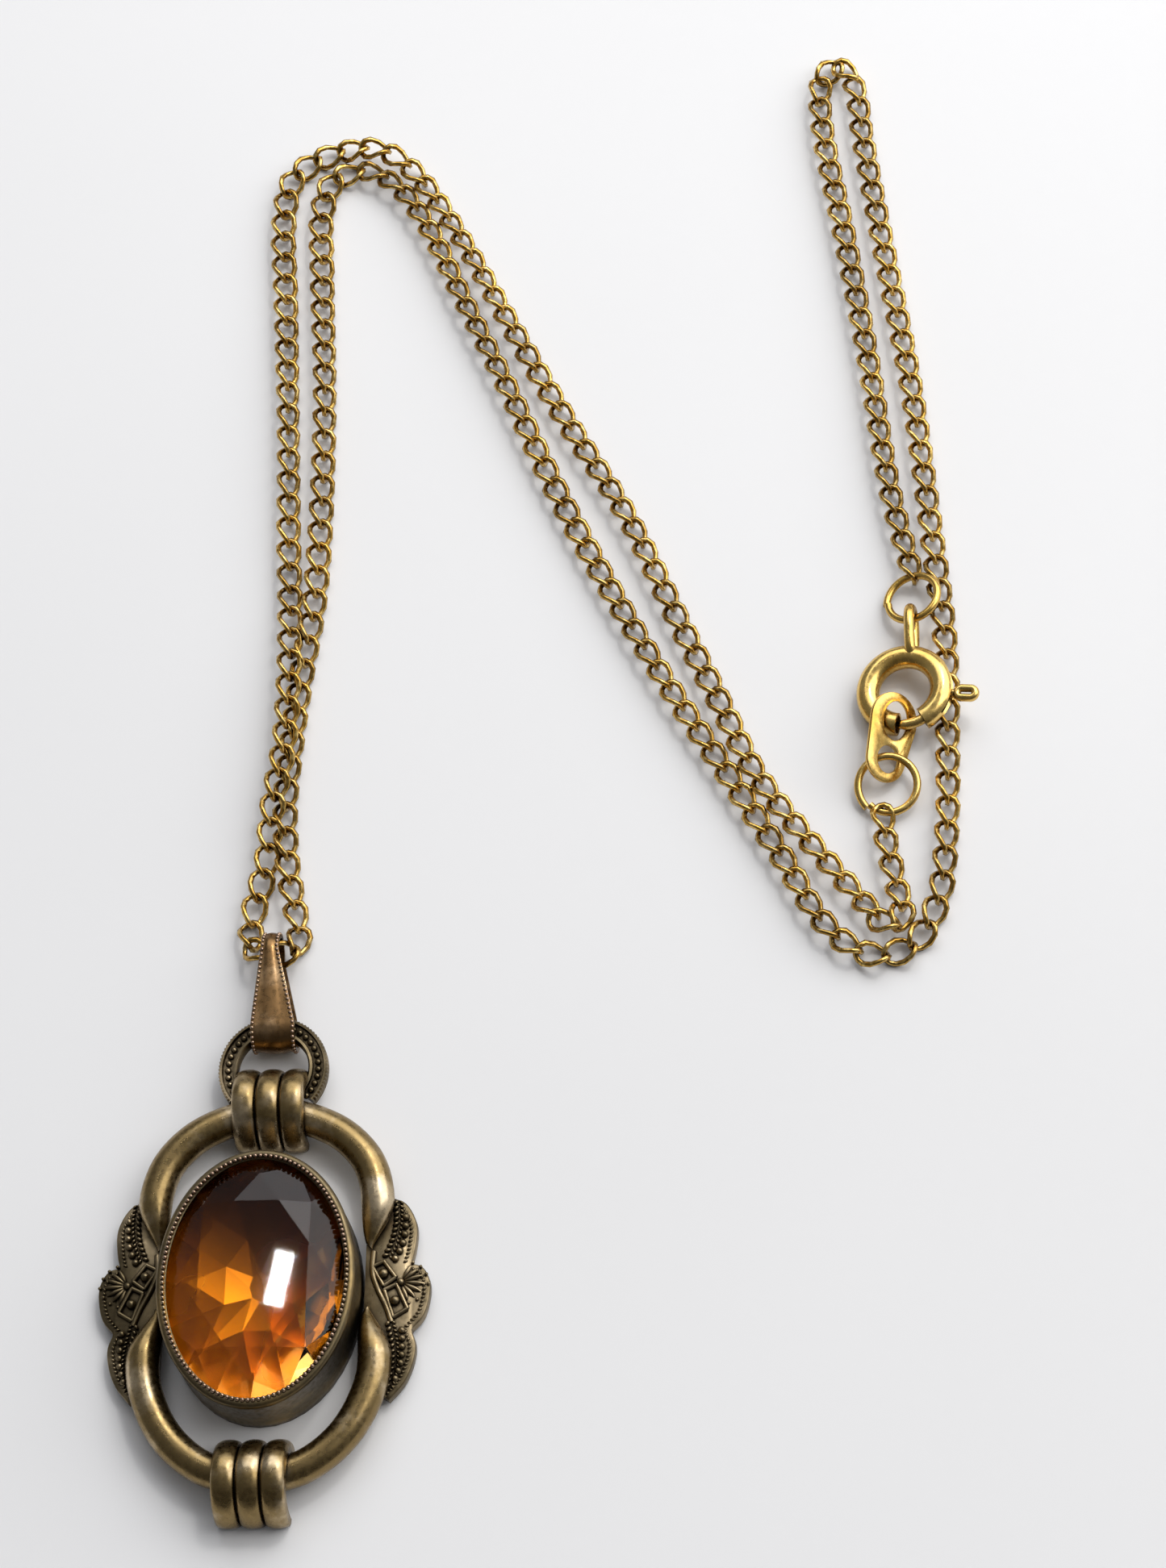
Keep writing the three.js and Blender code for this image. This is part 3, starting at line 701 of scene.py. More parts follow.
def faceted(rings):
    """The solid that a stone cutter leaves between rings of corners."""
    bm = bmesh.new()
    for ring in rings:
        facet_corners(bm, *ring)
    bmesh.ops.delete(bm, geom=list(bm.edges), context="EDGES_FACES")
    bmesh.ops.convex_hull(bm, input=bm.verts)
    bmesh.ops.dissolve_limit(bm, angle_limit=math.radians(4), verts=bm.verts, edges=bm.edges)
    tidy(bm)
    return bm


def cut_stone():
    """The stone, from its flat table to its culet."""
    publish(faceted((*CROWN, *PAVILION)), "faceted_stone", "pendant", finish("amber"), ("stone",),
            crease=0.5, on_pendant=True)


def press_foil():
    """A cup of foil pressed over the facets of the stone's back."""
    bm = faceted(PAVILION)
    lid = [face for face in bm.faces if face.calc_center_median().z > GIRDLE_LOW - 0.01]
    bmesh.ops.delete(bm, geom=lid, context="FACES_ONLY")
    bmesh.ops.translate(bm, vec=(0, 0, -FOIL_GAP), verts=bm.verts)
    bmesh.ops.solidify(bm, geom=bm.faces, thickness=-FOIL_THICKNESS)
    bmesh.ops.recalc_face_normals(bm, faces=bm.faces)
    publish(bm, "pressed_foil", "pendant", finish("foil"), ("foil_backing",),
            crease=0.5, on_pendant=True)


class NECKLACE_OT_stone(Operator):
    """Cut the oval stone with its facets, and set the foil behind it"""
    bl_idname = "necklace.stone"
    bl_label = "Stone and foil"

    def execute(self, context):
        cut_stone()
        press_foil()
        return {"FINISHED"}


def paint_node(node, key):
    """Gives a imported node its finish."""
    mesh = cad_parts[node].data
    mesh.materials.clear()
    mesh.materials.append(finish(key))


# ------------------------------------------------------------------ setting
BEZEL_LOW, BEZEL_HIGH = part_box("bezel_wall")
BEZEL_HALF = (BEZEL_HIGH - BEZEL_LOW).xy / (2 * MM)
OVAL_STEP = BEZEL_HALF.y - BEZEL_HALF.x
WALL_TOP = BEZEL_HIGH.z / MM
RIM_IN = 0.56
RIM_DROP = 0.16
RIM_SPACING = 1.08                # in beads
WALL_STEPS = 144
WALL_PROFILE = [
    (9.1, 0.46), (9.45, 0.46), (9.45, 0.9), (9.4, 1.05), (9.4, 4.3), (9.44, 4.5),
    (9.38, 4.75), (9.2, 4.9), (8.95, 4.9), (8.7, 4.74), (8.7, 4.58), (9.05, 4.5),
]


def to_oval(bm):
    """Narrows a turned shape by the same step all round, so that it follows the oval setting."""
    for vert in bm.verts:
        radius = math.hypot(vert.co.x, vert.co.y)
        vert.co.x *= (radius - OVAL_STEP) / radius


def turned(bm, profile, steps, begin=0.0, sweep_angle=FULL_TURN):
    """Spins a closed profile of (radius, height) points about Z."""
    ring = outline(bm, profile)
    stand = Matrix.Rotation(begin, 4, "Z") @ Matrix.Rotation(math.pi / 2, 4, "X")
    bmesh.ops.transform(bm, matrix=stand, verts=bm.verts)
    full = abs(sweep_angle - FULL_TURN) < 1e-6
    if not full:
        bmesh.ops.edgeloop_fill(bm, edges=ring)
    spun = bmesh.ops.spin(bm, geom=[*ring, *ends_of(ring)], cent=(0, 0, 0), axis=Z_AXIS,
                          angle=sweep_angle, steps=steps, use_merge=full)
    if not full:
        last = [item for item in spun["geom_last"] if isinstance(item, bmesh.types.BMEdge)]
        bmesh.ops.edgeloop_fill(bm, edges=last)


def oval_line(half_wide, half_long, height, steps=240):
    """Points all the way round an oval, with the first one again at the end."""
    points = []
    for i in range(steps + 1):
        angle = FULL_TURN * i / steps
        points.append(Vector((half_wide * math.cos(angle), half_long * math.sin(angle), height)))
    return points


class NECKLACE_OT_setting(Operator):
    """Turn the setting's wall, set fine beads along its rim, and finish its back plate"""
    bl_idname = "necklace.setting"
    bl_label = "Setting"

    def execute(self, context):
        bm = bmesh.new()
        turned(bm, WALL_PROFILE, WALL_STEPS)
        to_oval(bm)
        tidy(bm)
        publish(bm, "setting_wall", "pendant", finish("wall"), ("bezel_wall",),
                crease=50, on_pendant=True)
        bm = bmesh.new()
        beads = sizes().edge_bead / MM
        rim = oval_line(BEZEL_HALF.x - RIM_IN, BEZEL_HALF.y - RIM_IN, WALL_TOP - RIM_DROP)
        for here in evenly(rim, beads * RIM_SPACING)[:-1]:
            bead(bm, here, beads / 2, stretch=(1.0, 1.0, 1.1))
        publish(bm, "rim_beads", "pendant", finish("rim"), (), crease=80, on_pendant=True)
        paint_node("bezel_back", "wall")
        return {"FINISHED"}


# ------------------------------------------------------------------ arches
ARCH_RADIUS = 1.2
ARCH_HEIGHT = 1.75
ARCH_SIDES = 28
TIP_LENGTH = 3.6
TIP_SLIMMEST = 0.16
TIP_DROP = 0.35
UPPER_HALF = [
    (7.65, 3.2), (7.95, 5.0), (7.95, 7.0), (7.5, 8.8),
    (6.75, 10.1), (5.3, 11.5), (3.4, 12.5), (1.6, 13.0),
]
LOWER_HALF = [
    (7.6, -1.4), (8.0, -3.2), (8.2, -5.0), (8.05, -6.6), (7.5, -8.3),
    (6.6, -10.0), (5.3, -11.5), (3.5, -12.75), (1.7, -13.3),
]
UPPER_CROWN = 13.15
LOWER_CROWN = -13.45


def taper_tips(bm, tip, towards):
    """Thins the tube into leaf points beside the setting, with a straight inner side."""
    inner = tip[0] - ARCH_RADIUS * TIP_SLIMMEST
    for vert in bm.verts:
        share = min(max((vert.co.y - tip[1]) * towards / TIP_LENGTH, 0.0), 1.0)
        keep = TIP_SLIMMEST + (1 - TIP_SLIMMEST) * math.sin(share * math.pi / 2)
        if share < 1:
            vert.co.x = math.copysign(inner + (abs(vert.co.x) - inner) * keep, vert.co.x)
        vert.co.z = ARCH_HEIGHT + (vert.co.z - ARCH_HEIGHT) * keep - TIP_DROP * (1 - keep)


def arch(name, half, crown, node):
    """A tube bent from one side of the setting over its crown to the other."""
    right = [Vector((x, y, ARCH_HEIGHT)) for x, y in half]
    left = [Vector((-x, y, ARCH_HEIGHT)) for x, y in reversed(half)]
    line = smooth_line([*right, Vector((0, crown, ARCH_HEIGHT)), *left], 6)
    bm = bmesh.new()
    wire(bm, line, ARCH_RADIUS, ARCH_SIDES)
    taper_tips(bm, half[0], math.copysign(1, crown))
    tidy(bm)
    publish(bm, name, "pendant", finish("brass"), (node,), crease=60, on_pendant=True)


class NECKLACE_OT_arches(Operator):
    """Bend the two smooth arches over and under the stone"""
    bl_idname = "necklace.arches"
    bl_label = "Arches"

    def execute(self, context):
        arch("arch_over_stone", UPPER_HALF, UPPER_CROWN, "upper_arch")
        arch("arch_under_stone", LOWER_HALF, LOWER_CROWN, "lower_arch")
        return {"FINISHED"}


# ------------------------------------------------------------------ collars
COLLAR_Y = 13.7
COLLAR_HALF = 2.6
COLLAR_FOOT = 0.15
COLLAR_REACH = 2.3
COLLAR_RISE = 3.15
RIB_GROOVE = 0.4
RIB_HEIGHT = 0.5
RIB_STEPS = 10
RIB_FILL = 0.985                  # share of its third of the strap that a rib takes up
RIB_ROUNDNESS = 0.75              # 1 is a half circle, less is fuller at the sides
COLLAR_STEPS = 40
FOOT_STEPS = 4
FOOT_FULLNESS = 0.72              # thickness at the collar's two ends


def collar_section():
    """Three round ribs on a flat strap, across the collar."""
    points = [(-COLLAR_HALF, 0.0), (COLLAR_HALF, 0.0)]
    half = COLLAR_HALF / 3
    for rib in (1, 0, -1):
        for k in range(RIB_STEPS + 1):
            angle = math.pi * k / RIB_STEPS
            rise = RIB_GROOVE + RIB_HEIGHT * math.sin(angle) ** RIB_ROUNDNESS
            points.append((rib * 2 * half + half * math.cos(angle) * RIB_FILL, rise))
    return points


def collar(name, y, node):
    """A ribbed strap bent over the arch in half an oval, thinner at its two ends."""
    bm = bmesh.new()
    frames = []
    for k in range(COLLAR_STEPS + 1):
        angle = math.pi * k / COLLAR_STEPS
        aside = -math.cos(angle)
        above = math.sin(angle)
        place = Vector((0, y + COLLAR_REACH * aside, COLLAR_FOOT + COLLAR_RISE * above))
        outward = Vector((0, aside / COLLAR_REACH, above / COLLAR_RISE))
        from_foot = min(k, COLLAR_STEPS - k, FOOT_STEPS) / FOOT_STEPS
        fullness = FOOT_FULLNESS + (1 - FOOT_FULLNESS) * math.sin(from_foot * math.pi / 2)
        frames.append(facing(place, X_AXIS, outward, (1.0, fullness)))
    sweep(bm, outline(bm, collar_section()), frames)
    tidy(bm)
    publish(bm, name, "pendant", finish("brass"), (node,), crease=60, on_pendant=True)


class NECKLACE_OT_collars(Operator):
    """Wrap the three-ribbed collars over both arches"""
    bl_idname = "necklace.collars"
    bl_label = "Collars"

    def execute(self, context):
        collar("collar_at_bail", COLLAR_Y, "upper_collar")
        collar("collar_at_foot", -COLLAR_Y, "lower_collar")
        return {"FINISHED"}


# ------------------------------------------------------------------ wings
WING_LOW = 0.3
WING_FACE = 1.15
WING_BEVEL = 0.14
WING_BEVEL_FROM = 8.9             # the edge is rounded outside this distance from the middle
WING_CURVES = [
    [(8.9, 6.95), (9.9, 6.5), (10.75, 4.9), (10.68, 3.0), (10.45, 2.05)],
    [(10.45, 2.05), (11.25, 1.75), (11.8, 0.7), (11.78, -0.6), (11.4, -1.9), (10.6, -2.85)],
    [(10.6, -2.85), (10.95, -3.9), (10.78, -5.3), (10.2, -6.7), (9.2, -7.9)],
]
WING_INSIDE = [(7.2, -6.6), (7.2, 6.0)]
INNER_ROPE = [(9.2, 6.5), (9.28, 5.3), (9.12, 4.0), (8.6, 2.6)]
INSIDE_RIDGE = [(7.75, 2.9), (7.72, 1.4), (8.15, 0.1), (8.75, -1.1), (9.2, -2.3)]
LOBE_BEADS = [(9.95, 5.4), (9.95, 4.4), (9.75, 3.3), (9.3, 2.35)]
LOWER_ROPE = [(8.95, -2.4), (9.3, -4.0), (9.35, -5.4), (9.05, -6.9)]
LOWER_BEADS = [(9.95, -2.9), (10.0, -4.0), (9.95, -5.2), (9.6, -6.4)]
CELLS = [
    ((7.7, 1.75), (8.5, 2.15), (9.4, 0.95), (8.55, 0.35)),
    ((8.6, 0.05), (9.45, 0.45), (10.3, -1.35), (9.3, -1.95)),
]
CELL_BEADS = [(8.52, 1.25), (9.4, -0.75)]
FAN_HEART = (9.75, 0.62)
FAN_RAYS = 7
FAN_FROM = -68
FAN_SPREAD = 128
RAY_LENGTH = 1.5
RAY_SHORTEST = 1.15
RAY_RADIUS = 0.17
RAY_START = 0.28                  # from the fan's heart
RIM_INSET = 0.42
ROPE_GAP = 0.4                    # between the two ropes that lie side by side


def wing_edge():
    """The scalloped outer edge, lobe by lobe."""
    edge = []
    for curve in WING_CURVES:
        edge.extend(smooth_line(flat(curve), 5))
    return edge


def inset_line(points, inset):
    """The same line, moved towards the setting's side."""
    moved = []
    for i, here in enumerate(points):
        moved.append(here + Z_AXIS.cross(heading(points, i)).normalized() * -inset)
    return moved


def wing_plate(bm):
    """The wing's plain plate, with its outer edge rounded."""
    points = [(here.x, here.y) for here in wing_edge()]
    ring = outline(bm, points + WING_INSIDE)
    face = bmesh.ops.edgeloop_fill(bm, edges=ring)["faces"]
    verts = new_verts(bmesh.ops.extrude_face_region(bm, geom=face)["geom"])
    bmesh.ops.translate(bm, vec=(0, 0, WING_FACE - WING_LOW), verts=verts)
    bmesh.ops.translate(bm, vec=(0, 0, WING_LOW), verts=bm.verts)
    top = []
    for edge in inner_edges(verts):
        if max(vert.co.x for vert in edge.verts) > WING_BEVEL_FROM:
            top.append(edge)
    bmesh.ops.bevel(bm, geom=top, offset=WING_BEVEL, segments=2, profile=0.5, affect="EDGES", material=-1)


def wing_fan(bm):
    """Rays that spread from a bead, longest in the middle, each with a small bead at its tip."""
    heart = Vector((*FAN_HEART, WING_FACE + 0.08))
    middle_ray = (FAN_RAYS - 1) / 2
    for k in range(FAN_RAYS):
        angle = math.radians(FAN_FROM + FAN_SPREAD * k / (FAN_RAYS - 1))
        out = Vector((math.cos(angle), math.sin(angle), 0))
        reach = RAY_LENGTH - (RAY_LENGTH - RAY_SHORTEST) * abs(k - middle_ray) / middle_ray
        ray = facing(heart + out * (RAY_START + reach / 2), out, Z_AXIS)
        bead(bm, ray.translation, RAY_RADIUS, ray, (reach / (2 * RAY_RADIUS), 1.0, 1.0), turns=8)
        bead(bm, heart + out * (0.5 + reach), 0.14, turns=8)
    bead(bm, heart, 0.3, turns=10)


def wing_relief(bm):
    """Raised rim, rope lines, cells, rays and beads on the face of the wing."""
    size = sizes()
    grains = size.rope_bead / MM
    for curve in WING_CURVES:
        lobe = smooth_line(flat(curve, WING_FACE), 6)
        rope(bm, inset_line(lobe, RIM_INSET), grains * 0.75, grains * 0.8)
    for curve in (INNER_ROPE, LOWER_ROPE):
        line = smooth_line(flat(curve, WING_FACE + 0.05), 6)
        rope(bm, line, grains, grains * 1.2)
        rope(bm, inset_line(line, -ROPE_GAP), grains * 0.8, grains * 0.85, slant=-38)
    wire(bm, smooth_line(flat(INSIDE_RIDGE, WING_FACE + 0.08), 5), 0.22, 8)
    for curve in (LOBE_BEADS, LOWER_BEADS):
        bead_row(bm, smooth_line(flat(curve, WING_FACE + 0.06), 4), 0.6, 0.56)
    for corners in CELLS:
        loop = flat(corners, WING_FACE + 0.1)
        for a, b in zip(loop, loop[1:] + loop[:1]):
            wire(bm, [a, b], 0.17, 8)
    for x, y in CELL_BEADS:
        bead(bm, Vector((x, y, WING_FACE + 0.12)), size.cell_bead / MM / 2, turns=12)
    wing_fan(bm)


class NECKLACE_OT_wings(Operator):
    """Make the ornamented wings on both sides of the setting"""
    bl_idname = "necklace.wings"
    bl_label = "Wings"

    def execute(self, context):
        for name, node, side in (("wing_right", "right_wing", 1), ("wing_left", "left_wing", -1)):
            bm = bmesh.new()
            wing_plate(bm)
            tidy(bm)
            wing_relief(bm)
            if side < 0:
                bmesh.ops.scale(bm, vec=(-1, 1, 1), verts=bm.verts)
                bmesh.ops.reverse_faces(bm, faces=bm.faces)
            publish(bm, name, "pendant", finish("ornament"), (node,),
                    crease=55, on_pendant=True)
        return {"FINISHED"}


# ------------------------------------------------------------------ hanging ring
RING_Y = 16.6
RING_PROFILE = [
    (2.58, 1.2), (3.98, 1.2), (4.0, 1.3), (4.0, 1.98), (3.9, 2.1), (3.72, 2.08),
    (3.64, 1.82), (2.94, 1.82), (2.88, 2.06), (2.7, 2.1), (2.58, 1.98),
]
RING_FROM = -40                   # the ring is open towards the setting, and whole towards the bail
RING_TO = 220
RING_STEPS = 130
SERRATED_FROM = 3.85
SERRATION = 0.018                 # depth of every second step, as a share of the radius
CHANNEL_RADIUS = 3.29
CHANNEL_HEIGHT = 1.86
CHANNEL_PITCH = 0.56


class NECKLACE_OT_hanging_ring(Operator):
    """Turn the hanging ring, with its channel of beads and serrated edge"""
    bl_idname = "necklace.hanging_ring"
    bl_label = "Hanging ring"

    def execute(self, context):
        bm = bmesh.new()
        begin = math.radians(RING_FROM)
        step = math.radians(RING_TO - RING_FROM) / RING_STEPS
        turned(bm, RING_PROFILE, RING_STEPS, begin, RING_STEPS * step)
        foot = RING_PROFILE[0][1]
        for vert in bm.verts:
            slot = round((math.atan2(vert.co.y, vert.co.x) - begin) / step)
            if vert.co.xy.length > SERRATED_FROM and vert.co.z > foot + 0.05:
                vert.co *= 1 - SERRATION * (slot % 2)
        tidy(bm)
        channel = round_line(CHANNEL_RADIUS, RING_FROM, RING_TO, 99, CHANNEL_HEIGHT)
        bead_row(bm, channel, CHANNEL_PITCH, sizes().ring_bead / MM)
        bmesh.ops.translate(bm, vec=(0, RING_Y, 0), verts=bm.verts)
        publish(bm, "beaded_hanging_ring", "pendant", finish("ornament"), ("hanging_ring",),
                crease=50, on_pendant=True)
        return {"FINISHED"}


# ------------------------------------------------------------------ bail
BAIL_RADIUS = 1.45
BAIL_LOWER_Y = 19.63
BAIL_UPPER_Y = 25.55
BAIL_HEIGHT = 1.67
BAIL_WIDE = 3.2
BAIL_NARROW = 1.3
BAIL_LEAN = -0.5
BAIL_SEAM = 0.06
BAIL_STEPS = 96
BEAD_INSET = 0.13                 # of the edge beads, from the strip's edge and above its middle
BAIL_SECTION = [
    (-0.5, -0.18), (0.5, -0.18), (0.5, 0.1), (0.44, 0.14), (0.36, 0.1), (0.2, 0.2),
    (0.0, 0.24), (-0.2, 0.2), (-0.36, 0.1), (-0.44, 0.14), (-0.5, 0.1),
]


def bail_place(along):
    """Point and outward direction on the folded strip's loop, from its seam over the front to the back."""
    straight = BAIL_UPPER_Y - BAIL_LOWER_Y
    quarter = math.pi * BAIL_RADIUS / 2
    # Each stretch: its length, where and at what angle it starts, and its way along Y (0 in a bend).
    stretches = (
        (quarter, BAIL_UPPER_Y, 0.0, 0),
        (straight, BAIL_UPPER_Y, math.pi / 2, -1),
        (2 * quarter, BAIL_LOWER_Y, math.pi / 2, 0),
        (straight, BAIL_LOWER_Y, 3 * math.pi / 2, 1),
        (quarter, BAIL_UPPER_Y, 3 * math.pi / 2, 0),
    )
    for reach, y, angle, way in stretches:
        if along < reach:
            break
        along -= reach
    if way:
        y += way * along
    else:
        angle += along / BAIL_RADIUS
    out = Vector((0, math.cos(angle), math.sin(angle)))
    return Vector((0, y, BAIL_HEIGHT)) + out * BAIL_RADIUS, out


def bail_width(y):
    """The strip's width and its lean to one side, at a distance along the pendant."""
    share = min(max((y - BAIL_LOWER_Y) / (BAIL_UPPER_Y - BAIL_LOWER_Y), 0.0), 1.0)
    return BAIL_WIDE + (BAIL_NARROW - BAIL_WIDE) * share, BAIL_LEAN * share


class NECKLACE_OT_bail(Operator):
    """Fold the tapered bail strip, bead its edges and solder its seam"""
    bl_idname = "necklace.bail"
    bl_label = "Bail"

    def execute(self, context):
        whole = 2 * (BAIL_UPPER_Y - BAIL_LOWER_Y) + 2 * math.pi * BAIL_RADIUS
        frames = []
        edges = ([], [])
        for k in range(BAIL_STEPS + 1):
            place, out = bail_place(BAIL_SEAM + (whole - 2 * BAIL_SEAM) * k / BAIL_STEPS)
            width, lean = bail_width(place.y)
            place.x = lean
            frames.append(facing(place, X_AXIS, out, (width, 1.0)))
            for line, side in zip(edges, (-1, 1)):
                line.append(place + X_AXIS * (side * (width / 2 - BEAD_INSET)) + out * BEAD_INSET)
        bm = bmesh.new()
        sweep(bm, outline(bm, BAIL_SECTION), frames)
        tidy(bm)
        publish(bm, "folded_bail", "bail", finish("copper"), ("bail",),
                crease=50, on_pendant=True)
        bm = bmesh.new()
        beads = sizes().bail_bead / MM
        for line in edges:
            bead_row(bm, line, beads * 1.3, beads, 0.7)
        publish(bm, "bail_edge_beads", "bail", finish("rim"), (),
                crease=80, on_pendant=True)
        bm = bmesh.new()
        seam = Vector((BAIL_LEAN, BAIL_UPPER_Y + BAIL_RADIUS + 0.08, BAIL_HEIGHT + 0.05))
        bead(bm, seam, 0.3, stretch=(1.5, 0.55, 0.9), turns=16)
        publish(bm, "bail_seam_solder", "bail", finish("solder"), (),
                crease=80, on_pendant=True)
        return {"FINISHED"}


# ------------------------------------------------------------------ jump rings
RING_WIRE = 0.29
JOIN_GAP = 1.2                    # degrees from each end of the wire to the join


def placed(x, y, z, tilt=0.0, roll=0.0, turn=0.0):
    """A place and turn in the necklace's own frame: turned about Z, tilted about X, rolled about Y."""
    matrix = Matrix.Translation((x, y, z)) @ Matrix.Rotation(math.radians(turn), 4, "Z")
    matrix = matrix @ Matrix.Rotation(math.radians(tilt), 4, "X")
    return matrix @ Matrix.Rotation(math.radians(roll), 4, "Y")


def open_ring(radius, join_at, overlap):
    """A round wire ring whose two ends almost meet, one a little outside the other."""
    line = []
    steps = 56
    for k in range(steps + 1):
        angle = math.radians(join_at + JOIN_GAP + (360 - 2 * JOIN_GAP) * k / steps)
        aside = (2 * k / steps - 1) ** 5 * overlap
        reach = radius + aside
        line.append(Vector((reach * math.cos(angle), reach * math.sin(angle), -aside)))
    bm = bmesh.new()
    wire(bm, line, RING_WIRE, 16)
    tidy(bm)
    return bm


CLASP_RING_PLACE = placed(46.6, 48.35, 1.35, tilt=-9, roll=-20)
TAG_RING_PLACE = placed(44.5, 33.16, 0.92, tilt=10, roll=-2)


class NECKLACE_OT_jump_rings(Operator):
    """Bend the two jump rings, each with its join"""
    bl_idname = "necklace.jump_rings"
    bl_label = "Jump rings"

    def execute(self, context):
        rings = (
            ("clasp_ring_wire", "clasp_jump_ring", CLASP_RING_PLACE, 2.0, 184, 0.09),
            ("tag_ring_wire", "tag_jump_ring", TAG_RING_PLACE, 2.17, 228, 0.13),
        )
        for name, node, place, radius, join_at, overlap in rings:
            bm = open_ring(radius, join_at, overlap)
            bmesh.ops.transform(bm, matrix=place, verts=bm.verts)
            publish(bm, name, node, finish("gold"), (node,), crease=50)
        return {"FINISHED"}


# ------------------------------------------------------------------ spring ring clasp
SPRING_PLACE = placed(45.9, 40.5, 1.55, roll=-10)
TUBE_AT = 2.78
TUBE_RADIUS = 0.87
TUBE_WALL = 0.2
TUBE_FROM = -62
TUBE_TO = 258
SLOT_FROM = -40
SLOT_TO = 34
SLOT_HALF = 0.3
TUBE_SIDES = 28
TUBE_STEPS = 100
EYE_WIRE = 0.41
EYE_FLARE = 0.3                   # extra thickness where the eye's ends are joined to the tube
FLARE_LENGTH = 0.9
EYE_X = 0.6
EYE_LINE = [(2.75, 0.3), (3.25, 0.74), (4.2, 0.88), (5.8, 0.88), (6.5, 0.5), (6.7, 0.0)]
GATE_WIRE = 0.4
GATE_FROM = -105
GATE_TO = -5
GATE_STEPS = 40
TIP_STEPS = 6
KNOB_ANGLE = -9
KNOB_LOOP = 0.38
KNOB_WIRE = 0.3
KNOB_STRETCH = 0.32
KNOB_THICKENING = 1.15
NECK_SHORT = 0.72                 # the neck stops this far from the middle of the knob's loop
NECK_WIRE = 0.26
COIL_RADIUS = 0.36
COIL_WIRE = 0.09
COIL_FROM = 0
COIL_TO = 56
COIL_TURNS = 7
COIL_TURN_STEPS = 10
KNOB_AT = 4.64


def clasp_tube():
    """The hollow ring of the clasp, open at its mouth, with the slot that the knob slides in."""
    bm = bmesh.new()
    line = round_line(TUBE_AT, TUBE_FROM, TUBE_TO, TUBE_STEPS)
    sweep(bm, circle(bm, TUBE_RADIUS, TUBE_SIDES), line_frames(line), capped=False)
    tidy(bm)
    bm.normal_update()
    outward = [face for face in bm.faces if face.calc_center_median().xy.length > TUBE_AT]
    if sum(face.normal.dot(face.calc_center_median()) for face in outward) < 0:
        bmesh.ops.reverse_faces(bm, faces=bm.faces)
    slot = []
    for face in outward:
        centre = face.calc_center_median()
        angle = math.degrees(math.atan2(centre.y, centre.x))
        if abs(centre.z) < SLOT_HALF and SLOT_FROM < angle < SLOT_TO:
            slot.append(face)
    bmesh.ops.delete(bm, geom=slot, context="FACES")
    bmesh.ops.solidify(bm, geom=bm.faces, thickness=TUBE_WALL)
    bmesh.ops.recalc_face_normals(bm, faces=bm.faces)
    return bm


def clasp_eye():
    """The hairpin eye that the jump ring goes through, flared where it is joined to the tube."""
    side = [Vector((EYE_X, y, z)) for y, z in EYE_LINE]
    back = [Vector((v.x, v.y, -v.z)) for v in reversed(side[:-1])]
    line = smooth_line([*side, *back], 6)
    bm = bmesh.new()
    frames = []
    total = measure(line)
    for i, here in enumerate(line):
        near_root = max(0.0, 1 - min(total[i], total[-1] - total[i]) / FLARE_LENGTH)
        swell = 1 + EYE_FLARE * near_root ** 2
        frames.append(facing(here, X_AXIS, heading(line, i).cross(X_AXIS), (swell, swell)))
    sweep(bm, circle(bm, EYE_WIRE, 16), frames)
    tidy(bm)
    return bm


def trigger_bar():
    """The sliding gate, flattened at its tip, and the looped knob that pulls it back."""
    bm = bmesh.new()
    wire_ring(bm, KNOB_LOOP, KNOB_WIRE, 12, 28)
    for vert in bm.verts:
        vert.co.x += math.copysign(KNOB_STRETCH, vert.co.x)
    bmesh.ops.scale(bm, vec=(1, 1, KNOB_THICKENING), verts=bm.verts)
    bmesh.ops.translate(bm, vec=(KNOB_AT, 0, 0), verts=bm.verts)
    wire(bm, [Vector((TUBE_AT, 0, 0)), Vector((KNOB_AT - NECK_SHORT, 0, 0))], NECK_WIRE, 12)
    turn = Matrix.Rotation(math.radians(KNOB_ANGLE), 3, "Z")
    bmesh.ops.rotate(bm, cent=(0, 0, 0), matrix=turn, verts=bm.verts)
    frames = []
    for i, frame_at in enumerate(line_frames(round_line(TUBE_AT, GATE_FROM, GATE_TO, GATE_STEPS))):
        near_tip = max(0.0, 1 - i / TIP_STEPS)
        flatten = Matrix.Diagonal((1 - 0.35 * near_tip, 1 - 0.6 * near_tip ** 2, 1, 1))
        frames.append(frame_at @ flatten)
    sweep(bm, circle(bm, GATE_WIRE, 16), frames)
    tidy(bm)
    return bm


def gate_spring():
    """The coil inside the tube that pushes the gate shut."""
    line = []
    steps = COIL_TURNS * COIL_TURN_STEPS
    for k in range(steps + 1):
        along = math.radians(COIL_FROM + (COIL_TO - COIL_FROM) * k / steps)
        turn = FULL_TURN * k / COIL_TURN_STEPS
        reach = TUBE_AT + COIL_RADIUS * math.cos(turn)
        rise = COIL_RADIUS * math.sin(turn)
        line.append(Vector((reach * math.cos(along), reach * math.sin(along), rise)))
    bm = bmesh.new()
    frames = [facing(here, heading(line, i).cross(here), here) for i, here in enumerate(line)]
    sweep(bm, circle(bm, COIL_WIRE, 5), frames)
    tidy(bm)
    return bm


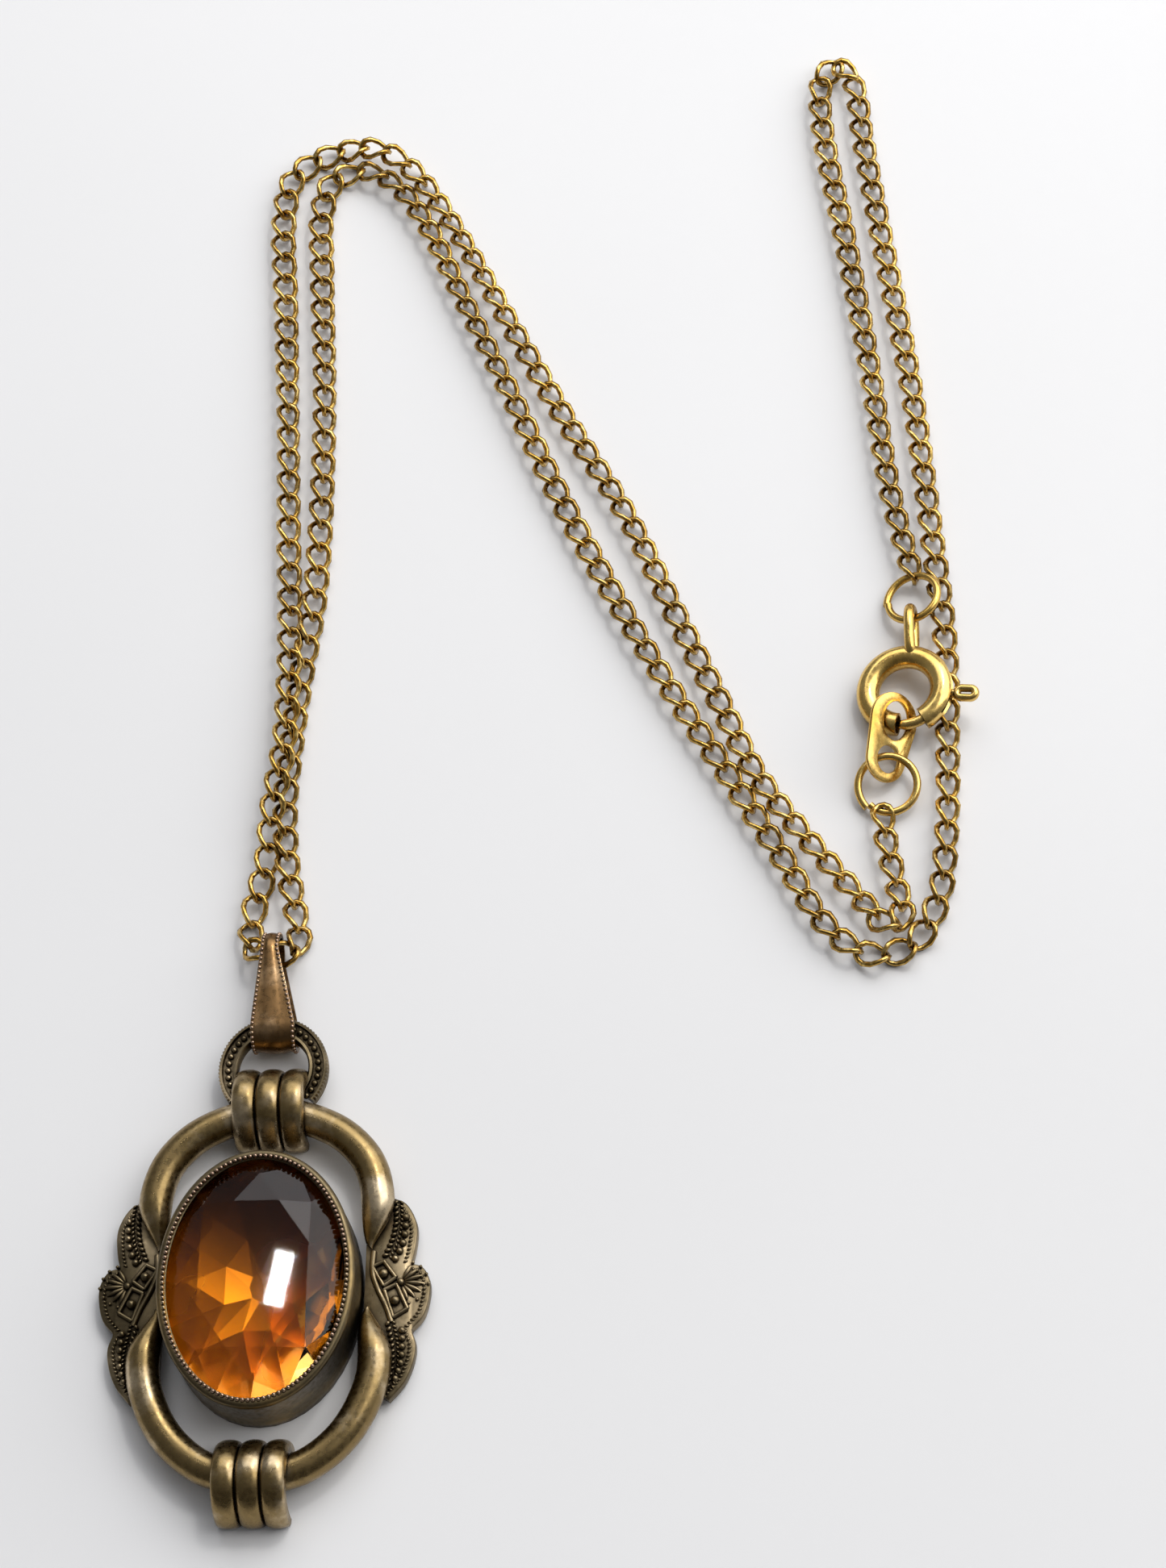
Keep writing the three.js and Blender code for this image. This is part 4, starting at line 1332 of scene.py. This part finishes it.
class NECKLACE_OT_spring_ring(Operator):
    """Make the spring ring clasp: hollow ring, eye, and the gate with its knob"""
    bl_idname = "necklace.spring_ring"
    bl_label = "Spring ring clasp"

    def execute(self, context):
        parts = (
            ("clasp_tube", clasp_tube(), "spring_ring", "spring_ring_body"),
            ("clasp_eye", clasp_eye(), "spring_ring", "spring_ring_eye"),
            ("clasp_trigger", trigger_bar(), "trigger", "trigger"),
        )
        for name, bm, body, node in parts:
            bmesh.ops.transform(bm, matrix=SPRING_PLACE, verts=bm.verts)
            publish(bm, name, body, finish("gold"), (node,), crease=45)
        coil = gate_spring()
        bmesh.ops.transform(coil, matrix=SPRING_PLACE, verts=coil.verts)
        piece = publish(coil, "gate_coil", "spring_ring", finish("steel"), ("trigger_spring",))
        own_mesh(piece)
        return {"FINISHED"}


# ------------------------------------------------------------------ connector tag
TAG_PLACE = placed(45.14, 38.0, 1.63, tilt=6.3, roll=42.4, turn=-12.5)
TAG_THICKNESS = 0.34
TAG_HEAD = (-0.15, 0.0, 2.1)
TAG_TAIL = (-0.15, -3.1, 1.75)
HEAD_HOLE = (1.16, 1.5)
TAIL_HOLE = (0.98, 1.05)
TAIL_HOLE_Y = -3.05
TAG_BEVEL = 0.07
TAG_ARC_STEPS = 24
TAG_HOLE_STEPS = 32


def tag_outline():
    """A round head and a smaller round tail, with straight sides that touch both."""
    across = Vector((TAG_HEAD[0] - TAG_TAIL[0], TAG_HEAD[1] - TAG_TAIL[1]))
    lean = math.asin((TAG_HEAD[2] - TAG_TAIL[2]) / across.length)
    turn = math.atan2(-across.x, across.y)
    points = []
    arcs = ((TAG_HEAD, -lean, math.pi + lean), (TAG_TAIL, math.pi + lean, FULL_TURN - lean))
    for (x, y, radius), begin, end in arcs:
        for k in range(TAG_ARC_STEPS + 1):
            angle = turn + begin + (end - begin) * k / TAG_ARC_STEPS
            points.append((x + radius * math.cos(angle), y + radius * math.sin(angle)))
    return points


def tag_hole(half_wide, half_long, y):
    """An oval hole at a distance along the tag."""
    points = []
    for k in range(TAG_HOLE_STEPS):
        angle = FULL_TURN * k / TAG_HOLE_STEPS
        points.append((half_wide * math.cos(angle), y + half_long * math.sin(angle)))
    return points


class NECKLACE_OT_tag(Operator):
    """Cut the flat tag with its two holes"""
    bl_idname = "necklace.tag"
    bl_label = "Two-hole tag"

    def execute(self, context):
        bm = bmesh.new()
        edges = outline(bm, tag_outline())
        edges += outline(bm, tag_hole(*HEAD_HOLE, 0.0))
        edges += outline(bm, tag_hole(*TAIL_HOLE, TAIL_HOLE_Y))
        bmesh.ops.triangle_fill(bm, edges=edges, use_beauty=True, normal=Z_AXIS)
        bmesh.ops.recalc_face_normals(bm, faces=bm.faces)
        verts = new_verts(bmesh.ops.extrude_face_region(bm, geom=list(bm.faces))["geom"])
        bmesh.ops.translate(bm, vec=(0, 0, TAG_THICKNESS), verts=verts)
        bmesh.ops.translate(bm, vec=(0, 0, -TAG_THICKNESS / 2), verts=bm.verts)
        bmesh.ops.recalc_face_normals(bm, faces=bm.faces)
        bm.normal_update()
        sharp = [edge for edge in bm.edges if edge.calc_face_angle(0.0) > math.radians(60)]
        bmesh.ops.bevel(bm, geom=sharp, offset=TAG_BEVEL, segments=2, profile=0.5, affect="EDGES",
                        material=-1)
        bmesh.ops.transform(bm, matrix=TAG_PLACE, verts=bm.verts)
        publish(bm, "two_hole_tag", "connector_tag", finish("gold"), ("connector_tag",),
                crease=30)
        return {"FINISHED"}


# ------------------------------------------------------------------ stage
CAMERA_AT = Vector((51.11, -92.91, 270.1))
CAMERA_AIM = Vector((21.88, 34.34, 0.0))
CAMERA_ROLL = math.radians(-13.3)
CAMERA_LENS = 92.6
CAMERA_SENSOR = 36
PAPER_HALF = 600.0
PENDANT_AIM = Vector((0, -5, 2))
WINDOW_AIM = Vector((20, 60, 0))
GLINT_AT = Vector((1.9, -5.6, 5.65))
GLINT_DISTANCE = 600.0
GLINT_SPIN = math.radians(-42)
NEUTRAL = (1.0, 0.985, 0.96)
COOL = (0.97, 0.98, 1.0)
WARM = (1.0, 0.97, 0.92)
GLINT_TINT = (1.0, 0.97, 0.96)
ROOM_DIM = (0.16, 0.155, 0.15)
ROOM_BRIGHT = (0.78, 0.8, 0.84)
ROOM_STRENGTH = 0.6


def soft_light(name, place, aim, width, height, power, tint, spin=0.0):
    """A rectangular lamp at place, in millimetres, pointing at aim."""
    lamp = bpy.data.lights.new(name, "AREA")
    lamp.shape = "RECTANGLE"
    lamp.size, lamp.size_y = width * MM, height * MM
    lamp.energy = power
    lamp.color = tint
    holder = bpy.data.objects.new(name, lamp)
    bpy.context.scene.collection.objects.link(holder)
    holder.location = place * MM
    holder.rotation_mode = "QUATERNION"
    turn = Matrix.Rotation(spin, 3, "Z").to_quaternion()
    holder.rotation_quaternion = (aim - place).to_track_quat("-Z", "Y") @ turn


def room():
    """Surroundings that are bright overhead and to the right, and dim towards the viewer."""
    world = bpy.data.worlds.new("room")
    bpy.context.scene.world = world
    world.use_nodes = True
    tree = world.node_tree
    place = add(tree, "ShaderNodeTexCoord")
    split = add(tree, "ShaderNodeSeparateXYZ")
    tree.links.new(place.outputs["Generated"], split.inputs["Vector"])
    to_viewer = ranged(tree, split.outputs["Y"], -0.75, 0.15)
    to_right = ranged(tree, split.outputs["X"], -0.6, 0.7, 0.35, 1.0)
    level = add(tree, "ShaderNodeMath", operation="MULTIPLY")
    tree.links.new(to_viewer, level.inputs[0])
    tree.links.new(to_right, level.inputs[1])
    tint = mixed(tree, level.outputs[0], ROOM_DIM, ROOM_BRIGHT)
    shade = tree.nodes["Background"]
    tree.links.new(tint, shade.inputs["Color"])
    shade.inputs["Strength"].default_value = ROOM_STRENGTH


def lay_paper():
    """The pale sheet under the necklace."""
    bm = bmesh.new()
    bmesh.ops.create_grid(bm, x_segments=1, y_segments=1, size=PAPER_HALF * MM)
    bmesh.ops.translate(bm, vec=(CAMERA_AIM.x * MM, CAMERA_AIM.y * MM, 0), verts=bm.verts)
    mesh = bpy.data.meshes.new("paper")
    bm.to_mesh(mesh)
    bm.free()
    mesh.materials.append(finish("paper"))
    paper = bpy.data.objects.new("paper", mesh)
    bpy.context.scene.collection.objects.link(paper)


def hang_lights():
    """Soft window, ceiling and lamp light, and the small strip that shows in the stone's table."""
    soft_light("window", Vector((420, 260, 380)), WINDOW_AIM, 640, 640, 3.0, NEUTRAL)
    soft_light("ceiling", Vector((40, 480, 420)), WINDOW_AIM, 600, 420, 1.7, COOL)
    soft_light("lamp", Vector((190, 300, 470)), PENDANT_AIM, 45, 45, 0.3, WARM)
    look = GLINT_AT - CAMERA_AT
    mirrored = Vector((look.x, look.y, -look.z)).normalized()
    glint = GLINT_AT + mirrored * GLINT_DISTANCE
    soft_light("glint", glint, GLINT_AT, 3.8, 11.5, 0.03, GLINT_TINT, spin=GLINT_SPIN)


def place_camera():
    """The camera, turned a little about its own line of sight."""
    camera = bpy.data.cameras.new("camera")
    camera.lens = CAMERA_LENS
    camera.sensor_width = CAMERA_SENSOR
    camera.sensor_fit = "AUTO"
    camera.clip_start = 0.01
    camera.dof.use_dof = False
    holder = bpy.data.objects.new("camera", camera)
    bpy.context.scene.collection.objects.link(holder)
    holder.location = CAMERA_AT * MM
    holder.rotation_mode = "QUATERNION"
    roll = Matrix.Rotation(CAMERA_ROLL, 3, "Z").to_quaternion()
    holder.rotation_quaternion = (CAMERA_AIM - CAMERA_AT).to_track_quat("-Z", "Y") @ roll
    bpy.context.scene.camera = holder


class NECKLACE_OT_stage(Operator):
    """Lay the pale paper, hang the soft lights and set up the camera"""
    bl_idname = "necklace.stage"
    bl_label = "Paper, lights and camera"

    def execute(self, context):
        lay_paper()
        hang_lights()
        room()
        place_camera()
        context.scene.view_settings.view_transform = "Standard"
        return {"FINISHED"}


# ------------------------------------------------------------------ add-on
STEPS = (
    NECKLACE_OT_chain,
    NECKLACE_OT_stone,
    NECKLACE_OT_setting,
    NECKLACE_OT_arches,
    NECKLACE_OT_collars,
    NECKLACE_OT_wings,
    NECKLACE_OT_hanging_ring,
    NECKLACE_OT_bail,
    NECKLACE_OT_jump_rings,
    NECKLACE_OT_spring_ring,
    NECKLACE_OT_tag,
    NECKLACE_OT_declare_chain,
    NECKLACE_OT_stage,
)


class NECKLACE_PT_build(Panel):
    """Builds the necklace piece by piece"""
    bl_idname = "NECKLACE_PT_build"
    bl_label = "Necklace"
    bl_space_type = "VIEW_3D"
    bl_region_type = "UI"
    bl_category = "Necklace"

    def draw(self, context):
        column = self.layout.column()
        for step in STEPS:
            column.operator(step.bl_idname)
        for group in (sizes(), colours()):
            column.separator()
            for key in type(group).__annotations__:
                column.prop(group, key)


CLASSES = (NecklaceSizes, NecklaceColours, *STEPS, NECKLACE_PT_build)


def register():
    for each in CLASSES:
        bpy.utils.register_class(each)
    bpy.types.Scene.necklace_sizes = PointerProperty(type=NecklaceSizes)
    bpy.types.Scene.necklace_colours = PointerProperty(type=NecklaceColours)


def unregister():
    del bpy.types.Scene.necklace_colours
    del bpy.types.Scene.necklace_sizes
    for each in reversed(CLASSES):
        bpy.utils.unregister_class(each)


def main():
    register()
    for step in STEPS:
        group, name = step.bl_idname.split(".")
        if getattr(getattr(bpy.ops, group), name)() != {"FINISHED"}:
            raise RuntimeError(step.bl_label + " did not finish")


if __name__ == "__main__":
    main()
